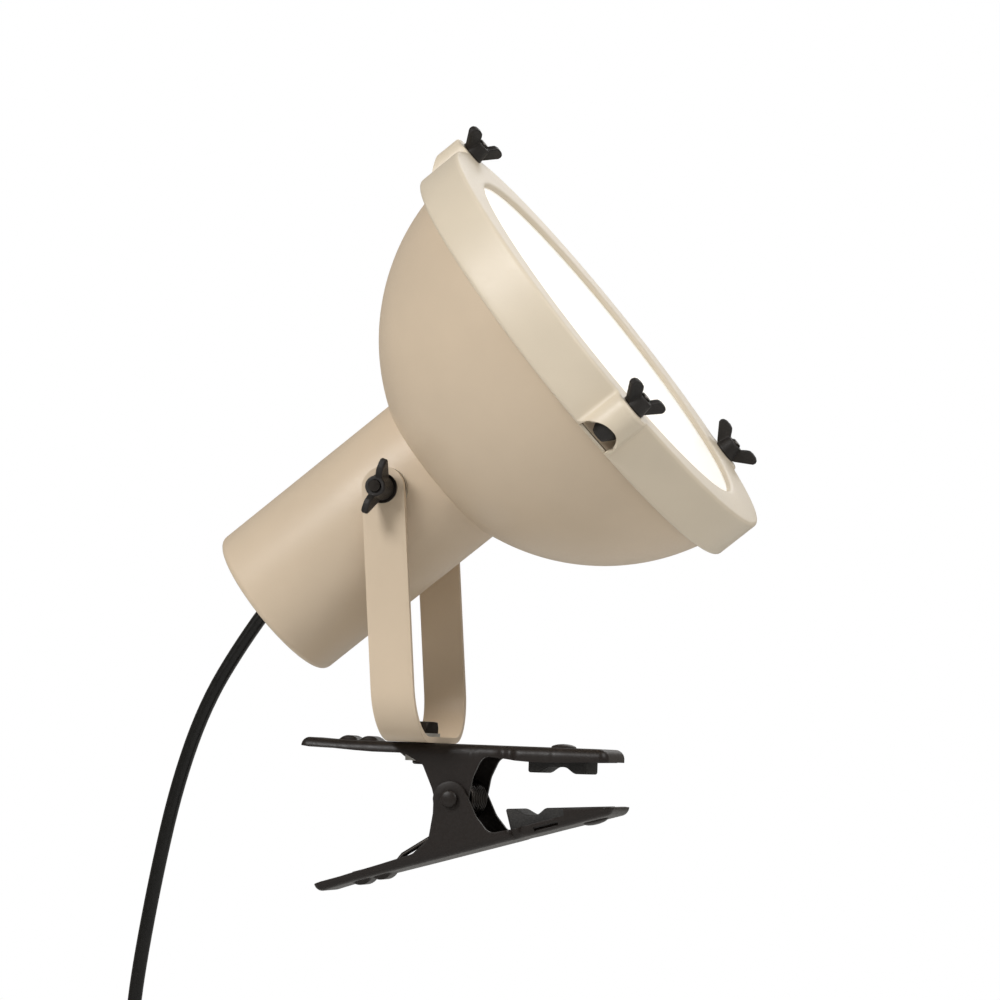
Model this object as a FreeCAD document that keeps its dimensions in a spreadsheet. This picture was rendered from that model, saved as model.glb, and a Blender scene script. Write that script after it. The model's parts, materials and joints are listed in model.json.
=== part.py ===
import FreeCAD, Part
import math
import os

import Sketcher
from FreeCAD import Placement, Rotation, Vector

# Clamp spotlight: a round lamp head on a steel yoke, which stands on a sprung two-jaw clamp.
# Lengths are in millimetres and angles in degrees. X runs along the clamp to the tips of its jaws,
# Y along the hinge pins and Z up. The origin is in the middle of the front gripping land of the
# upper pad, where the clamp holds on.

SIZES = {
    # both jaws, pressed alike; heights are from the clamp's hinge pin
    "jaw_wall": 1.5,
    "jaw_tail_reach": 56.2,
    "jaw_tip_reach": 54.8,
    "jaw_back_height": 18.9,
    "jaw_tail_half_width": 10.5,
    "jaw_ear_half_width": 12.9,
    "jaw_waist_half_width": 11.8,
    "jaw_nose_half_width": 14.6,
    "jaw_waist_start": 17.0,
    "jaw_waist_slope": 1.5,
    "jaw_waist_length": 2.0,
    "jaw_nose_start": 22.0,
    "jaw_joggle": 0.9,
    "jaw_joggle_start": 33.0,
    "jaw_joggle_length": 3.5,
    "jaw_tail_flange": 3.8,
    "jaw_waist_flange": 4.4,
    "jaw_nose_flange": 5.0,
    "jaw_low_flange": 3.7,
    "jaw_wall_start": 38.0,
    "jaw_wall_below_pad": 0.4,
    "jaw_corner_radius": 3.5,
    "jaw_edge_round": 1.3,
    "jaw_slot_start": 26.0,
    "jaw_slot_length": 8.8,
    "jaw_slot_width": 1.2,
    "ear_back_reach": 18.5,
    "ear_knee_reach": 11.0,
    "ear_knee_height": 11.6,
    "ear_tip_radius": 6.0,
    "ear_throat_reach": 7.4,
    "ear_throat_height": 7.8,
    "ear_front_reach": 12.0,
    "ear_running_gap": 0.3,
    "closed_angle": 16.3,
    # the two humps that hold the spring's ends
    "hump_first_reach": 32.8,
    "hump_spacing": 7.4,
    "hump_radius": 4.7,
    "hump_height": 1.6,
    "hump_width": 9.0,
    # hinge pin and spring
    "pin_radius": 2.0,
    "pin_head_radius": 2.9,
    "pin_head_height": 0.9,
    "pin_running_gap": 0.05,
    "spring_wire": 1.8,
    "spring_bore_gap": 3.4,
    "spring_turn_gap": 0.5,
    "spring_turns": 3.25,
    "spring_half_gap": 0.3,
    "spring_seat_gap": 0.05,
    "spring_bend_radius": 4.0,
    "spring_leg_touch": 26.0,
    "spring_leg_reach": 41.5,
    # rubber pads
    "pad_centre": 36.0,
    "pad_length": 20.4,
    "pad_half_width": 9.0,
    "pad_face_height": 10.1,
    "groove_half_width": 6.05,
    "groove_root_half_width": 3.1,
    "groove_depth": 2.2,
    "wedge_start": 16.8,
    "wedge_end": 51.0,
    "wedge_face_height": 7.7,
    "wedge_slope": 12.7,
    "wedge_groove_centre": 25.4,
    "wedge_groove_half_width": 5.2,
    "wedge_groove_root_half_width": 1.85,
    "wedge_groove_depth": 2.4,
    "wedge_rivet_reach": 44.7,
    "rivet_radius": 2.0,
    "rivet_head_radius": 4.4,
    "rivet_head_height": 1.3,
    "rivet_washer_radius": 3.4,
    "rivet_washer_depth": 1.2,
    "rivet_gap": 0.1,
    "wedge_well_depth": 1.0,
    # yoke and its bolt
    "bolt_back": 14.9,
    "bolt_radius": 3.0,
    "bolt_running_gap": 0.05,
    "hex_across": 10.0,
    "bolt_head_height": 4.0,
    "bolt_washer_radius": 6.3,
    "bolt_washer_thickness": 1.2,
    "bolt_nut_height": 4.8,
    "bolt_tail": 1.2,
    "yoke_height": 85.9,
    "yoke_lean": 5.1,
    "yoke_strap": 15.0,
    "yoke_wall": 2.0,
    "yoke_room": 2.9,
    "yoke_bend_radius": 18.0,
    # lamp head, along its own axis from the tilt axis
    "aim_angle": 39.2,
    "housing_radius": 29.1,
    "housing_wall": 1.5,
    "housing_round": 2.5,
    "housing_lap": 2.2,
    "dome_radius": 78.0,
    "dome_seat": 14.85,
    "dome_wall": 1.2,
    "dome_rim_depth": 5.0,
    "weld_gap": 0.05,
    "glass_inset": 1.0,
    "glass_thickness": 4.0,
    "gasket_lip": 0.5,
    "gasket_back_lip": 1.3,
    "gasket_rim": 2.6,
    "gasket_grip": 5.5,
    "gasket_room": 1.4,
    "ring_wall": 1.5,
    "ring_lap": 10.0,
    "ring_cover": 9.8,
    "ring_seam_gap": 0.35,
    "ring_round": 1.2,
    "lug_out": 0.4,
    "lug_radius": 7.2,
    "lug_start": 1.7,
    "lug_taper": 5.6,
    "boss_radius": 4.6,
    "boss_start": 2.4,
    "boss_length": 6.4,
    "boss_web": 5.0,
    "boss_lap": 6.0,
    "stud_radius": 2.0,
    "stud_hole_gap": 0.2,
    "ring_stud_free": 6.0,
    # wing nuts on the ring
    "wing_seat_radius": 4.5,
    "wing_hub_radius": 3.6,
    "wing_hub_height": 5.2,
    "wing_reach": 9.7,
    "wing_height": 7.9,
    "wing_thickness": 2.4,
    "wing_corner_height": 4.8,
    "wing_neck_reach": 4.9,
    "wing_crown": 0.9,
    "wing_foot": 0.4,
    "wing_root_depth": 1.1,
    "wing_root_drop": 0.5,
    "thread_gap": 0.06,
    "seat_gap": 0.05,
    "wing_turn_top": 65.0,
    "wing_turn_near": 55.0,
    "wing_turn_far": 5.0,
    # tilt pivots
    "spacer_radius": 7.5,
    "friction_washer": 1.0,
    "pivot_side_gap": 0.05,
    "pivot_washer_radius": 5.2,
    "pivot_washer_thickness": 0.8,
    "pivot_stud_head_radius": 5.0,
    "pivot_stud_head": 2.0,
    "pivot_stud_free": 9.2,
    "pivot_wing_reach": 9.9,
    "pivot_wing_height": 10.4,
    "pivot_hub_height": 8.4,
    "pivot_wing_turn": 70.7,
    # lampholder and bulb
    "holder_stand_off": 21.8,
    "holder_base_radius": 17.0,
    "holder_base_length": 14.0,
    "holder_skirt_radius": 19.6,
    "holder_length": 38.5,
    "holder_floor": 11.0,
    "sleeve_wall": 0.5,
    "sleeve_length": 24.0,
    "contact_radius": 3.5,
    "contact_height": 4.0,
    "bracket_room": 5.6,
    "bracket_wall": 1.2,
    "bracket_width": 14.0,
    "bracket_foot": 8.0,
    "bracket_hole_radius": 3.0,
    "small_screw_radius": 1.5,
    "small_screw_head_radius": 2.9,
    "small_screw_head": 1.6,
    "small_screw_grip": 6.0,
    "screw_gap": 0.1,
    "holder_screw_offset": 11.0,
    "cap_radius": 13.2,
    "cap_length": 24.0,
    "cap_tip_radius": 4.5,
    "cap_tip": 2.6,
    "bulb_radius": 30.0,
    "bulb_length": 77.0,
    "bulb_room": 8.5,
    "bulb_shoulder": 20.0,
    "bulb_wall": 1.0,
    # cord entry
    "cord_diameter": 5.0,
    "gland_radius": 4.6,
    "gland_collar_radius": 6.6,
    "gland_collar": 1.6,
    "gland_thread_length": 4.4,
    "gland_taper_length": 12.6,
    "gland_tip_radius": 3.3,
    "gland_nut_across": 13.0,
    "gland_nut_height": 3.4,
    "cord_joint_gap": 0.3,
    "core_radius": 1.0,
    "core_spread": 1.4,
    "core_depth": 5.0,
    # switch on the cord
    "switch_length": 62.0,
    "switch_width": 27.0,
    "switch_depth": 18.0,
    "switch_round": 8.0,
    "switch_wall": 2.0,
    "rocker_length": 19.0,
    "rocker_width": 11.0,
    "rocker_throw": 9.0,
    "rocker_gap": 0.3,
    "rocker_pivot_depth": 3.0,
    "rocker_end_height": 3.9,
    "rocker_dip_height": 3.3,
    "rocker_foot": 1.0,
    "switch_screw_spread": 44.0,
    "switch_post_radius": 3.0,
    # coil of the put-away length, its tie and the plug
    "coil_lead_in": 35.0,
    "coil_radius": 29.5,
    "coil_pitch": 5.45,
    "coil_turns": 8,
    "coil_layers": 4,
    "tie_wall": 1.0,
    "tie_width": 8.0,
    "tie_slack": 0.6,
    "tail_drop": 44.0,
    "plug_corner": 6.9,
    "plug_width": 35.0,
    "plug_depth": 14.0,
    "plug_body": 26.0,
    "plug_neck": 10.0,
    "plug_neck_radius": 4.6,
    "plug_pin_radius": 2.0,
    "plug_pin_length": 19.0,
    "plug_pin_spacing": 18.6,
}

# Where the visible cord hangs: points of its route after the exit, back and down from the exit.
CORD_ROUTE = [
    (7.8, 11.0),
    (20.3, 33.0),
    (29.3, 60.5),
    (35.7, 92.5),
    (41.0, 127.5),
    (42.6, 147.5),
    (42.6, 165.5),
]


# The sheet and the sizes read from it

doc = FreeCAD.newDocument("ClampSpotlight")
sheet = doc.addObject("Spreadsheet::Sheet", "Sizes")
for row, (alias, amount) in enumerate(SIZES.items(), 1):
    sheet.set(f"A{row}", alias.replace("_", " "))
    sheet.set(f"B{row}", str(amount))
    sheet.setAlias(f"B{row}", alias)
doc.recompute()


def number(size):
    return size.value if isinstance(size, Size) else size


def words(size):
    return size.text if isinstance(size, Size) else repr(float(size))


class Size:
    """A number with the sheet expression that gives it, so that what it sizes stays bound to the sheet."""

    def __init__(self, value, text):
        self.value = value
        self.text = text

    def __add__(self, other):
        return Size(self.value + number(other), f"({self.text} + {words(other)})")

    def __radd__(self, other):
        return Size(number(other) + self.value, f"({words(other)} + {self.text})")

    def __sub__(self, other):
        return Size(self.value - number(other), f"({self.text} - {words(other)})")

    def __rsub__(self, other):
        return Size(number(other) - self.value, f"({words(other)} - {self.text})")

    def __mul__(self, other):
        return Size(self.value * number(other), f"({self.text} * {words(other)})")

    __rmul__ = __mul__

    def __truediv__(self, other):
        return Size(self.value / number(other), f"({self.text} / {words(other)})")

    def __neg__(self):
        return Size(-self.value, f"(-1 * {self.text})")


def cosine(angle):
    return Size(math.cos(math.radians(number(angle))), f"cos({words(angle)})")


def sine(angle):
    return Size(math.sin(math.radians(number(angle))), f"sin({words(angle)})")


def root(amount):
    return Size(math.sqrt(number(amount)), f"sqrt({words(amount)})")


def side(slope, other):
    """The other short side of a right triangle with this slope and this other side."""
    return root(slope * slope - other * other)


class Sheet:
    """The sheet's cells by name."""

    def __getattr__(self, alias):
        return Size(SIZES[alias], f"Sizes.{alias}")


d = Sheet()


# Ways to draw and place pieces


def put(piece, x=0.0, y=0.0, z=0.0, about=(0, 0, 1), turn=0.0):
    """Place a piece at a point, turned about an axis through it."""
    piece.Placement = Placement(Vector(0, 0, 0), Rotation(Vector(*about), number(turn)))
    for axis, distance in (("x", x), ("y", y), ("z", z)):
        piece.setExpression(f"Placement.Base.{axis}", words(distance))
    if isinstance(turn, Size):
        piece.setExpression("Placement.Rotation.Angle", turn.text)
    return piece


def new_body(name):
    body = doc.addObject("PartDesign::Body", name)
    body.Label = name
    return body


def new_sketch(body, role, lift=0.0, spin=0.0):
    """A sketch on one of the body's own planes, lifted off it and spun about its upright."""
    sketch = body.newObject("Sketcher::SketchObject", f"{body.Name}_sketch")
    plane = next(f for f in body.Origin.OriginFeatures if f.Role == role)
    sketch.AttachmentSupport = [(plane, "")]
    sketch.MapMode = "FlatFace"
    sketch.AttachmentOffset = Placement(Vector(0, 0, 0), Rotation(Vector(0, 1, 0), number(spin)))
    sketch.setExpression("AttachmentOffset.Base.z", words(lift))
    if isinstance(spin, Size):
        sketch.setExpression("AttachmentOffset.Rotation.Angle", spin.text)
    return sketch


def pin_point(sketch, edge, end, x, y):
    """Fix one end of an edge at x, y from the sketch's origin."""
    for kind, distance, axis in (("DistanceX", x, -2), ("DistanceY", y, -1)):
        if number(distance) == 0 and not isinstance(distance, Size):
            sketch.addConstraint(Sketcher.Constraint("PointOnObject", edge, end, axis))
            continue
        index = sketch.addConstraint(
            Sketcher.Constraint(kind, -1, 1, edge, end, number(distance))
        )
        sketch.setExpression(f"Constraints[{index}]", words(distance))


def outline(sketch, corners):
    """Closed outline through corners (x, y). A corner (x, y, cx, cy, way) goes on by an arc about cx, cy,
    way 1 counterclockwise or -1 clockwise, to the next corner. Sketches number an edge's ends 1 and 2."""
    first = sketch.GeometryCount
    count = len(corners)
    starts = []
    for here, corner in enumerate(corners):
        x, y = number(corner[0]), number(corner[1])
        follow = corners[(here + 1) % count]
        u, v = number(follow[0]), number(follow[1])
        if len(corner) == 2:
            sketch.addGeometry(Part.LineSegment(Vector(x, y, 0), Vector(u, v, 0)), False)
            starts.append(1)
            continue
        cx, cy, way = number(corner[2]), number(corner[3]), corner[4]
        circle = Part.Circle(Vector(cx, cy, 0), Vector(0, 0, 1), math.hypot(x - cx, y - cy))
        angles = [math.atan2(y - cy, x - cx), math.atan2(v - cy, u - cx)]
        if way < 0:
            angles.reverse()
        sketch.addGeometry(Part.ArcOfCircle(circle, angles[0], angles[1]), False)
        starts.append(1 if way > 0 else 2)
    for here, corner in enumerate(corners):
        edge = first + here
        before = first + (here - 1) % count
        sketch.addConstraint(
            Sketcher.Constraint("Coincident", before, 3 - starts[here - 1], edge, starts[here])
        )
        pin_point(sketch, edge, starts[here], corner[0], corner[1])
        if corner[2:]:
            dx, dy = corner[0] - corner[2], corner[1] - corner[3]
            radius = root(dx * dx + dy * dy)
            index = sketch.addConstraint(Sketcher.Constraint("Radius", edge, radius.value))
            sketch.setExpression(f"Constraints[{index}]", radius.text)


def ring_outline(sketch, x, y, radius):
    """A circle in a sketch."""
    edge = sketch.GeometryCount
    circle = Part.Circle(Vector(number(x), number(y), 0), Vector(0, 0, 1), number(radius))
    sketch.addGeometry(circle, False)
    pin_point(sketch, edge, 3, x, y)
    index = sketch.addConstraint(Sketcher.Constraint("Radius", edge, number(radius)))
    sketch.setExpression(f"Constraints[{index}]", words(radius))


def feature(body, kind, sketch, length=None, symmetric=False, reverse=False):
    """A pad or pocket of a sketch."""
    made = body.newObject(f"PartDesign::{kind}", f"{body.Name}_{kind.lower()}")
    made.Profile = sketch
    made.SideType = "Symmetric" if symmetric else "One side"
    made.Reversed = reverse
    if length is None:
        made.Type = "ThroughAll"
    else:
        made.setExpression("Length", words(length))
    return made


def turned(name, *outlines):
    """A body turned about its Z axis from outlines of radius and height."""
    body = new_body(name)
    sketch = new_sketch(body, "XZ_Plane")
    for corners in outlines:
        outline(sketch, corners)
    made = body.newObject("PartDesign::Revolution", f"{name}_turned")
    made.Profile = sketch
    made.ReferenceAxis = (sketch, ["V_Axis"])
    made.Angle = 360
    return body


def drill(body, role, x, y, radius, lift=0.0, depth=None, symmetric=True, reverse=False):
    """A round hole through or into a body."""
    sketch = new_sketch(body, role, lift)
    ring_outline(sketch, x, y, radius)
    return feature(body, "Pocket", sketch, depth, symmetric, reverse)


def rounded(body, radius, wanted):
    """Round the edges of a body whose middle and direction pass the test."""
    doc.recompute()
    base = body.Tip
    names = [
        f"Edge{number_of}"
        for number_of, edge in enumerate(base.Shape.Edges, 1)
        if wanted(edge.CenterOfMass, edge)
    ]
    made = body.newObject("PartDesign::Fillet", f"{body.Name}_rounding")
    made.Base = (base, names)
    made.setExpression("Radius", words(radius))
    return made


def upright(edge):
    """True for a straight edge along Z."""
    run = edge.Vertexes[-1].Point - edge.Vertexes[0].Point
    return len(edge.Vertexes) == 2 and abs(run.z) > 0.999 * run.Length > 0


def rod(radius, length, x=0.0, y=0.0, z=0.0, about=(0, 0, 1), turn=0.0):
    made = doc.addObject("Part::Cylinder", "rod")
    made.setExpression("Radius", words(radius))
    made.setExpression("Height", words(length))
    return put(made, x, y, z, about, turn)


def block(length, width, height, x=0.0, y=0.0, z=0.0):
    """A box centred on x and y that stands on z."""
    made = doc.addObject("Part::Box", "block")
    for name, amount in (("Length", length), ("Width", width), ("Height", height)):
        made.setExpression(name, words(amount))
    return put(made, x - length / 2, y - width / 2, z)


def cut(base, tool):
    made = doc.addObject("Part::Cut", "cut")
    made.Base = base
    made.Tool = tool
    return made


def joined(*pieces):
    made = doc.addObject("Part::MultiFuse", "joined")
    made.Shapes = list(pieces)
    return made


def group(name, pieces):
    """Like pieces kept together as separate solids."""
    made = doc.addObject("Part::Compound", name)
    made.Label = name
    made.Links = list(pieces)
    return made


def named(piece, name):
    piece.Label = name
    return piece


def hexagon(sketch, across):
    """A hexagon about the sketch's origin, given across its flats."""
    corner = across / 2 / cosine(30)
    outline(sketch, [(corner * cosine(60 * n), corner * sine(60 * n)) for n in range(6)])


def by_hinge(piece):
    """Place a piece that is drawn from the hinge pin's axis with its plate up."""
    return put(piece, HINGE_X, 0, HINGE_Z)


def by_hinge_turned(piece):
    """Place a piece of the lower jaw, which is the upper one turned over on the pin."""
    half = math.radians(number(d.closed_angle) / 2)
    put(piece, HINGE_X, 0, HINGE_Z, (math.cos(half), 0, math.sin(half)), 180)
    piece.setExpression("Placement.Rotation.Axis.x", words(cosine(d.closed_angle / 2)))
    piece.setExpression("Placement.Rotation.Axis.z", words(sine(d.closed_angle / 2)))
    return piece


def on_head(piece, x=0.0, y=0.0, z=0.0):
    """Place a piece in the lamp head's own frame: origin on the tilt axis, z along the lamp's axis."""
    aim_x, aim_z = cosine(d.aim_angle), sine(d.aim_angle)
    place_x = TILT_X + aim_z * x + aim_x * z
    place_z = TILT_Z - aim_x * x + aim_z * z
    return put(piece, place_x, y, place_z, (0, 1, 0), 90 - d.aim_angle)


# Places worked out from the sizes

HINGE_X = -(d.pad_centre + (d.groove_half_width + d.pad_length / 2) / 2)
HINGE_Z = -d.pad_face_height
PLATE_UNDER = d.jaw_back_height - d.jaw_wall
BOLT_X = HINGE_X - d.bolt_back
PLATE_Z = HINGE_Z + d.jaw_back_height
TILT_X = BOLT_X - d.yoke_height * sine(d.yoke_lean) / cosine(d.yoke_lean)
TILT_Z = PLATE_Z + d.yoke_height
LOWER_EAR_HALF = d.jaw_ear_half_width + d.ear_running_gap + d.jaw_wall
YOKE_INSIDE = d.housing_radius + d.yoke_room
YOKE_OUTSIDE = YOKE_INSIDE + d.yoke_wall
CORD_RADIUS = d.cord_diameter / 2


# The clamp


def jaw_plan(sketch, ear_half, inset):
    """The jaw's outline from above, drawn in by the inset."""
    tail = -d.jaw_tail_reach + inset
    tip = d.jaw_tip_reach - inset
    waist = d.jaw_waist_start + d.jaw_waist_slope
    near = [
        (tail, -(d.jaw_tail_half_width - inset)),
        (-d.ear_back_reach, -(ear_half - inset)),
        (d.jaw_waist_start, -(ear_half - inset)),
        (waist, -(d.jaw_waist_half_width - inset)),
        (waist + d.jaw_waist_length, -(d.jaw_waist_half_width - inset)),
        (d.jaw_nose_start, -(d.jaw_nose_half_width - d.jaw_joggle - inset)),
        (d.jaw_joggle_start, -(d.jaw_nose_half_width - d.jaw_joggle - inset)),
        (d.jaw_joggle_start + d.jaw_joggle_length, -(d.jaw_nose_half_width - inset)),
        (tip, -(d.jaw_nose_half_width - inset)),
    ]
    outline(sketch, near + [(x, -y) for x, y in reversed(near)])


def hump_outlines(sketch, radius, base):
    """Two arches over the tail, which stand on a line at the height base."""
    centre = d.jaw_back_height + d.hump_height - d.hump_radius
    half = side(radius, base - centre)
    for step in range(2):
        x = -(d.hump_first_reach + d.hump_spacing * step)
        outline(sketch, [(x + half, base, x, centre, 1), (x - half, base)])


def jaw(name, ear_half, nose_edge, depth):
    """A jaw with its plate up. nose_edge is the free edge of its front flanges, which hang down by depth."""
    body = new_body(name)
    plate = new_sketch(body, "XY_Plane", d.jaw_back_height)
    jaw_plan(plate, ear_half, Size(0.0, "0"))
    feature(body, "Pad", plate, depth + d.jaw_wall, reverse=True)
    rounded(
        body,
        d.jaw_corner_radius,
        lambda middle, edge: upright(edge)
        and not -d.jaw_tail_reach.value + 1 < middle.x < d.jaw_tip_reach.value - 1,
    )
    rounded(
        body,
        d.jaw_edge_round,
        lambda middle, edge: all(
            abs(corner.Z - d.jaw_back_height.value) < 1e-6 for corner in edge.Vertexes
        ),
    )
    tail_edge = d.jaw_back_height - d.jaw_tail_flange
    waist_edge = d.jaw_back_height - d.jaw_waist_flange
    far_back = -d.jaw_tail_reach - d.jaw_wall
    bottom = d.jaw_back_height - depth - d.jaw_wall * 2
    trim = new_sketch(body, "XZ_Plane")
    outline(
        trim,
        [
            (far_back, bottom),
            (nose_edge[-1][0], bottom),
            *reversed(nose_edge),
            (-d.ear_back_reach, nose_edge[0][1]),
            (-d.ear_back_reach, tail_edge),
            (far_back, tail_edge),
        ],
    )
    feature(body, "Pocket", trim, symmetric=True)
    ears = new_sketch(body, "XZ_Plane")
    radius = d.ear_tip_radius
    outline(
        ears,
        [
            (-d.ear_back_reach, PLATE_UNDER),
            (-d.ear_back_reach, tail_edge),
            (-d.ear_knee_reach, d.ear_knee_height),
            (-radius, 0, 0, 0, 1),
            (0, -radius, 0, 0, 1),
            (radius, 0),
            (d.ear_throat_reach, d.ear_throat_height),
            (d.ear_front_reach, waist_edge),
            (d.ear_front_reach, PLATE_UNDER),
        ],
    )
    feature(body, "Pad", ears, ear_half * 2, symmetric=True)
    below = d.ear_tip_radius + d.jaw_wall
    hollow = new_sketch(body, "XY_Plane", -below)
    jaw_plan(hollow, ear_half, d.jaw_wall)
    feature(body, "Pocket", hollow, PLATE_UNDER + below, reverse=True)
    humps = new_sketch(body, "XZ_Plane")
    hump_outlines(humps, d.hump_radius, d.jaw_back_height)
    feature(body, "Pad", humps, d.hump_width, symmetric=True)
    hollows = new_sketch(body, "XZ_Plane")
    hump_outlines(hollows, d.hump_radius - d.jaw_wall, PLATE_UNDER)
    feature(body, "Pocket", hollows, d.hump_width - d.jaw_wall * 2, symmetric=True)
    drill(body, "XZ_Plane", 0, 0, d.pin_radius + d.pin_running_gap)
    return body


def upper_jaw():
    waist = d.jaw_back_height - d.jaw_waist_flange
    nose = d.jaw_back_height - d.jaw_nose_flange
    nose_edge = [
        (d.jaw_waist_start, waist),
        (d.jaw_nose_start, nose),
        (d.jaw_tip_reach + d.jaw_wall, nose),
    ]
    body = jaw("upper_jaw", d.jaw_ear_half_width, nose_edge, d.jaw_nose_flange)
    drill(body, "XY_Plane", -d.bolt_back, 0, d.bolt_radius + d.bolt_running_gap)
    drill(body, "XY_Plane", d.pad_centre, 0, d.rivet_radius + d.rivet_gap)
    by_hinge(body)


def lower_jaw():
    low = d.jaw_back_height - d.jaw_low_flange
    start = d.jaw_wall_start
    end = d.jaw_tip_reach + d.jaw_wall
    nose_edge = [
        (d.jaw_waist_start, low),
        (start, low),
        (start, wedge_face(start) + d.jaw_wall_below_pad),
        (end, wedge_face(end) + d.jaw_wall_below_pad),
    ]
    body = jaw("lower_jaw", LOWER_EAR_HALF, nose_edge, d.jaw_back_height - wedge_face(start))
    drill(body, "XY_Plane", d.wedge_rivet_reach, 0, d.rivet_radius + d.rivet_gap)
    slots = new_sketch(body, "XZ_Plane")
    start = d.jaw_slot_start
    end = start + d.jaw_slot_length
    top = PLATE_UNDER
    bottom = top - d.jaw_slot_width
    outline(slots, [(start, bottom), (end, bottom), (end, top), (start, top)])
    feature(body, "Pocket", slots, symmetric=True)
    by_hinge_turned(body)


def pad(name, corners, rivet_x, well_top, bottom):
    """A rubber pad: its side outline across the jaw, drilled for its rivet from below."""
    body = new_body(name)
    profile = new_sketch(body, "XZ_Plane")
    outline(profile, corners)
    feature(body, "Pad", profile, d.pad_half_width * 2, symmetric=True)
    drill(body, "XY_Plane", rivet_x, 0, d.rivet_radius + d.rivet_gap)
    well = new_sketch(body, "XY_Plane", bottom)
    ring_outline(well, rivet_x, 0, d.rivet_washer_radius + d.rivet_gap)
    feature(body, "Pocket", well, well_top - bottom, reverse=True)
    return body


def upper_pad():
    face = d.pad_face_height
    back = d.pad_centre - d.pad_length / 2
    front = d.pad_centre + d.pad_length / 2
    mouth = d.groove_half_width
    bed = d.groove_root_half_width
    corners = [
        (back, PLATE_UNDER),
        (back, face),
        (d.pad_centre - mouth, face),
        (d.pad_centre - bed, face + d.groove_depth),
        (d.pad_centre + bed, face + d.groove_depth),
        (d.pad_centre + mouth, face),
        (front, face),
        (front, PLATE_UNDER),
    ]
    by_hinge(pad("upper_pad", corners, d.pad_centre, UPPER_WELL_TOP, face))


def wedge_face(reach):
    """Height of the lower pad's face over the hinge axis, at a reach along the jaw."""
    rise = sine(d.wedge_slope) / cosine(d.wedge_slope)
    return d.wedge_face_height + rise * (reach - d.wedge_start)


def lower_pad():
    back = d.wedge_groove_centre - d.wedge_groove_half_width
    front = d.wedge_groove_centre + d.wedge_groove_half_width
    bed_back = d.wedge_groove_centre - d.wedge_groove_root_half_width
    bed_front = d.wedge_groove_centre + d.wedge_groove_root_half_width
    corners = [
        (d.wedge_start, PLATE_UNDER),
        (d.wedge_start, d.wedge_face_height),
        (back, wedge_face(back)),
        (bed_back, wedge_face(bed_back) + d.wedge_groove_depth),
        (bed_front, wedge_face(bed_front) + d.wedge_groove_depth),
        (front, wedge_face(front)),
        (d.wedge_end, wedge_face(d.wedge_end)),
        (d.wedge_end, PLATE_UNDER),
    ]
    bottom = d.wedge_face_height
    by_hinge_turned(pad("lower_pad", corners, d.wedge_rivet_reach, LOWER_WELL_TOP, bottom))


UPPER_WELL_TOP = d.pad_face_height + d.groove_depth + d.rivet_washer_depth
LOWER_WELL_TOP = wedge_face(d.wedge_rivet_reach) + d.wedge_well_depth + d.rivet_washer_depth


def pad_rivet(name, well_top):
    """Domed head on the plate, shank through plate and rubber, flat head in the pad's well."""
    head = d.rivet_head_radius
    rise = d.rivet_head_height
    ball = (head * head + rise * rise) / (rise * 2)
    plate = d.jaw_back_height
    flat = well_top - d.rivet_washer_depth
    return turned(
        name,
        [
            (0, flat),
            (d.rivet_washer_radius, flat),
            (d.rivet_washer_radius, well_top),
            (d.rivet_radius, well_top),
            (d.rivet_radius, plate),
            (head, plate, 0, plate + rise - ball, 1),
            (0, plate + rise),
        ],
    )


def pad_rivets():
    upper = pad_rivet("upper_pad_rivet", UPPER_WELL_TOP)
    put(upper, HINGE_X + d.pad_centre, 0, HINGE_Z)
    lower = pad_rivet("lower_pad_rivet", LOWER_WELL_TOP)
    by_hinge_turned(lower)
    reach = d.wedge_rivet_reach
    lower.setExpression("Placement.Base.x", words(HINGE_X + reach * cosine(d.closed_angle)))
    lower.setExpression("Placement.Base.z", words(HINGE_Z + reach * sine(d.closed_angle)))


def jaw_pivot_rivet():
    half = LOWER_EAR_HALF + d.pin_running_gap
    end = half + d.pin_head_height
    body = turned(
        "jaw_pivot_rivet",
        [
            (0, -end),
            (d.pin_radius, -end),
            (d.pin_head_radius, -half),
            (d.pin_radius, -half),
            (d.pin_radius, half),
            (d.pin_head_radius, half),
            (d.pin_radius, end),
            (0, end),
        ],
    )
    put(body, HINGE_X, 0, HINGE_Z, (1, 0, 0), 90)


# Wound and bent round stock

# Lengths below this count as none
TOUCHING = 1e-7


def bend(start, heading, end):
    """The arc, or the straight line, from start to end that sets off along the heading."""
    chord = end - start
    along = chord / chord.Length
    off = heading - along * heading.dot(along)
    if off.Length < TOUCHING:
        return Part.LineSegment(start, end).toShape()
    turn = heading.getAngle(along)
    middle = (start + end) / 2 + off / off.Length * (chord.Length / 2 * math.tan(turn / 2))
    return Part.Arc(start, middle, end).toShape()


def wound(stations):
    """Pairs of arcs through stations, each a point with its unit heading."""
    edges = []
    for (start, out), (end, into) in zip(stations, stations[1:]):
        gap = end - start
        both = out + into
        spread = 2 * (1 - out.dot(into))
        lean = gap.dot(both)
        reach = (math.sqrt(lean * lean + spread * gap.dot(gap)) - lean) / spread
        joint = (start + out * reach + end - into * reach) / 2
        edges.append(bend(start, out, joint))
        heading = edges[-1].tangentAt(edges[-1].LastParameter)
        edges.append(bend(joint, heading, end))
    return edges


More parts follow.
